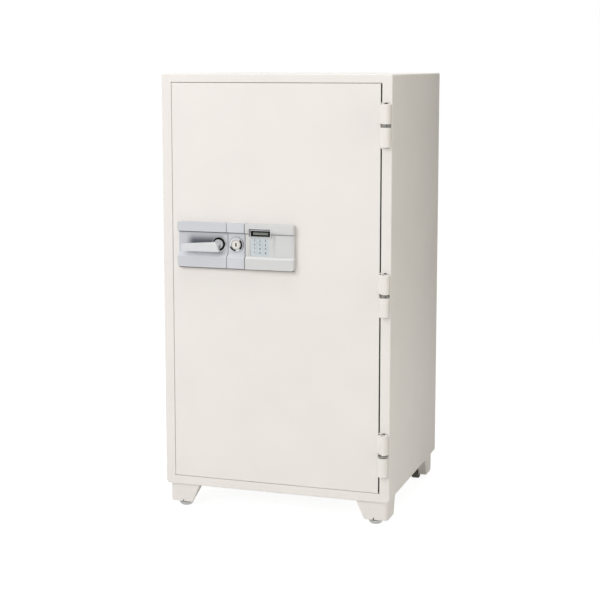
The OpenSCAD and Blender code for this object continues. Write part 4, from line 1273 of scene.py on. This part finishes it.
class SAFE_OT_hinges(bpy.types.Operator):
    """Rounds the hinges' knuckles and closes the ends of their cut-outs."""

    bl_idname = "safe.hinges"
    bl_label = "Hinges"

    def execute(self, context):
        sizes = context.scene.safe_edges
        front = front_y()
        low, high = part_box("lower_knuckles")
        pin_low, pin_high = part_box("hinge_pins")
        washer_low, washer_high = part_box("hinge_washers")
        wall, leaf, chamfer = 1 * MM, 4.5 * MM, 4 * MM
        centre, barrel = (pin_low + pin_high) / 2, (washer_high.x - washer_low.x) / 2 + wall
        edge = centre.x - barrel - leaf
        upper = clean_copy("door_knuckles", "upper_knuckles")
        cut_off(upper, (edge, 0, 0), (-1, 0, 0))
        cut_off(upper, (edge, front - chamfer, 0), (-0.707, -0.707, 0))
        stand_for(soften(upper, sizes.part, 2), "paint", "upper_knuckles")
        round_all([("lower_knuckles", "frame_knuckles", "paint", sizes.part, 2),
                   ("hinge_washers", "washers", "washer_steel", TURNED_EDGE, 2),
                   ("hinge_pins", "pins", "steel", sizes.part, 2)])
        self.end_plates(front, low, high)
        return {"FINISHED"}

    def end_plates(self, front, low, high):
        """Plates welded over the ends of each cut-out, so that only a narrow gap shows."""
        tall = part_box("upper_knuckles")[1].z - HINGE_FEET[-1]
        middle = (low.x + high.x) / 2
        gap, end, sunk, back, past = 0.9 * MM, 4.2 * MM, 0.3 * MM, 5 * MM, 1 * MM
        for number, foot in enumerate(HINGE_FEET, 1):
            head = foot + tall
            # The side, the plate's lower and upper edge, the notched edge, and the notch's
            # radius, depth and place to the right of the barrel
            for side, bottom, top, edge, radius, rise, shift in (
                    ("lower", foot - end, foot - gap, foot - gap, 5.5 * MM, -2.6 * MM, 3 * MM),
                    ("upper", head + gap, head + end, head + gap, 9 * MM, 3 * MM, -1 * MM)):
                plate = add_block(f"hinge_end_{side}_{number}",
                                  (low.x - past, front + sunk, bottom),
                                  (high.x + 0.4 * MM, front + back, top))
                notch = add_disc("notch", radius, front - past, front + back + past,
                                 middle + shift, edge + rise - math.copysign(radius, rise), 48)
                cut_away(plate, notch)
                dress(soften(plate, TRIM_EDGE, 2), "paint", "cabinet", "paint")


# ---- Feet ----------------------------------------------------------------------------


class SAFE_OT_feet(bpy.types.Operator):
    """Rounds the feet, their rollers and the levelling pads."""

    bl_idname = "safe.feet"
    bl_label = "Feet"

    def execute(self, context):
        sizes = context.scene.safe_edges
        tyre_edge = 1.5 * MM
        rows = [("foot_bolts", "foot_screws", "steel", sizes.sheet, 1),
                ("roller_axles", "axles", "steel", sizes.sheet, 2)]
        for side in ("left", "right"):
            self.front_foot(side, sizes.part)
            rows += [("foot_rear_" + side, "rear_foot_" + side, "paint", sizes.part, 2),
                     ("roller_" + side, "wheel_" + side, "roller_black", tyre_edge, 3),
                     ("leveller_" + side, "levelling_pad_" + side, "steel", sizes.sheet, 2)]
        round_all(rows)
        return {"FINISHED"}

    def front_foot(self, side, radius):
        """A front foot whose front plate runs on, flat, to the foot's sloping inner edge."""
        bead_out, sheet, flat, slope = 2 * MM, 3 * MM, 66 * MM, 28 * MM
        node = "foot_front_" + side
        foot = clean_copy("front_foot_" + side, node)
        low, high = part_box(node)
        face, middle = low.y + bead_out, (low.z + high.z) / 2
        inward, outer, inner = (1, low.x, high.x) if side == "left" else (-1, high.x, low.x)
        start, end = sorted((outer + inward * flat, inner))
        web = add_block("web", (start, face, low.z), (end, face + sheet, high.z))
        with chosen(web, "VERT", lambda p: p.z < middle and abs(p.x - inner) < SLACK):
            bpy.ops.transform.translate(value=(-inward * slope, 0, 0))
        merge(foot, web)
        stand_for(soften(foot, radius, 2), "paint", node)


# ---- Panel in the sidebar and registration -------------------------------------------


class SAFE_PT_sidebar(bpy.types.Panel):
    """Lists the steps that build the safe's looks."""

    bl_label = "Fire Safe"
    bl_idname = "SAFE_PT_sidebar"
    bl_space_type = "VIEW_3D"
    bl_region_type = "UI"
    bl_category = "Fire Safe"

    def draw(self, context):
        for step in STEPS:
            self.layout.operator(step.bl_idname)


GROUPS = {"safe_finish": SafeFinish, "safe_stage": SafeStage, "safe_panel": SafePanel,
          "safe_lever": SafeLever, "safe_lock": SafeLock, "safe_edges": SafeEdges}
STEPS = (SAFE_OT_stage, SAFE_OT_finish_frame, SAFE_OT_panel, SAFE_OT_keys, SAFE_OT_lever,
         SAFE_OT_lock, SAFE_OT_cabinet, SAFE_OT_door, SAFE_OT_bolt_work, SAFE_OT_hinges,
         SAFE_OT_feet)
CLASSES = (*GROUPS.values(), *STEPS, SAFE_PT_sidebar)


def register():
    for cls in CLASSES:
        bpy.utils.register_class(cls)
    for name, group in GROUPS.items():
        setattr(bpy.types.Scene, name, bpy.props.PointerProperty(type=group))


def unregister():
    for name in GROUPS:
        delattr(bpy.types.Scene, name)
    for cls in reversed(CLASSES):
        bpy.utils.unregister_class(cls)


def main():
    """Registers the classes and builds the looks."""
    register()
    bpy.ops.safe.stage()
    bpy.ops.safe.finish_frame()
    bpy.ops.safe.panel()
    bpy.ops.safe.keys()
    bpy.ops.safe.lever()
    bpy.ops.safe.lock()
    bpy.ops.safe.cabinet()
    bpy.ops.safe.door()
    bpy.ops.safe.bolt_work()
    bpy.ops.safe.hinges()
    bpy.ops.safe.feet()


if __name__ == "__main__":
    main()
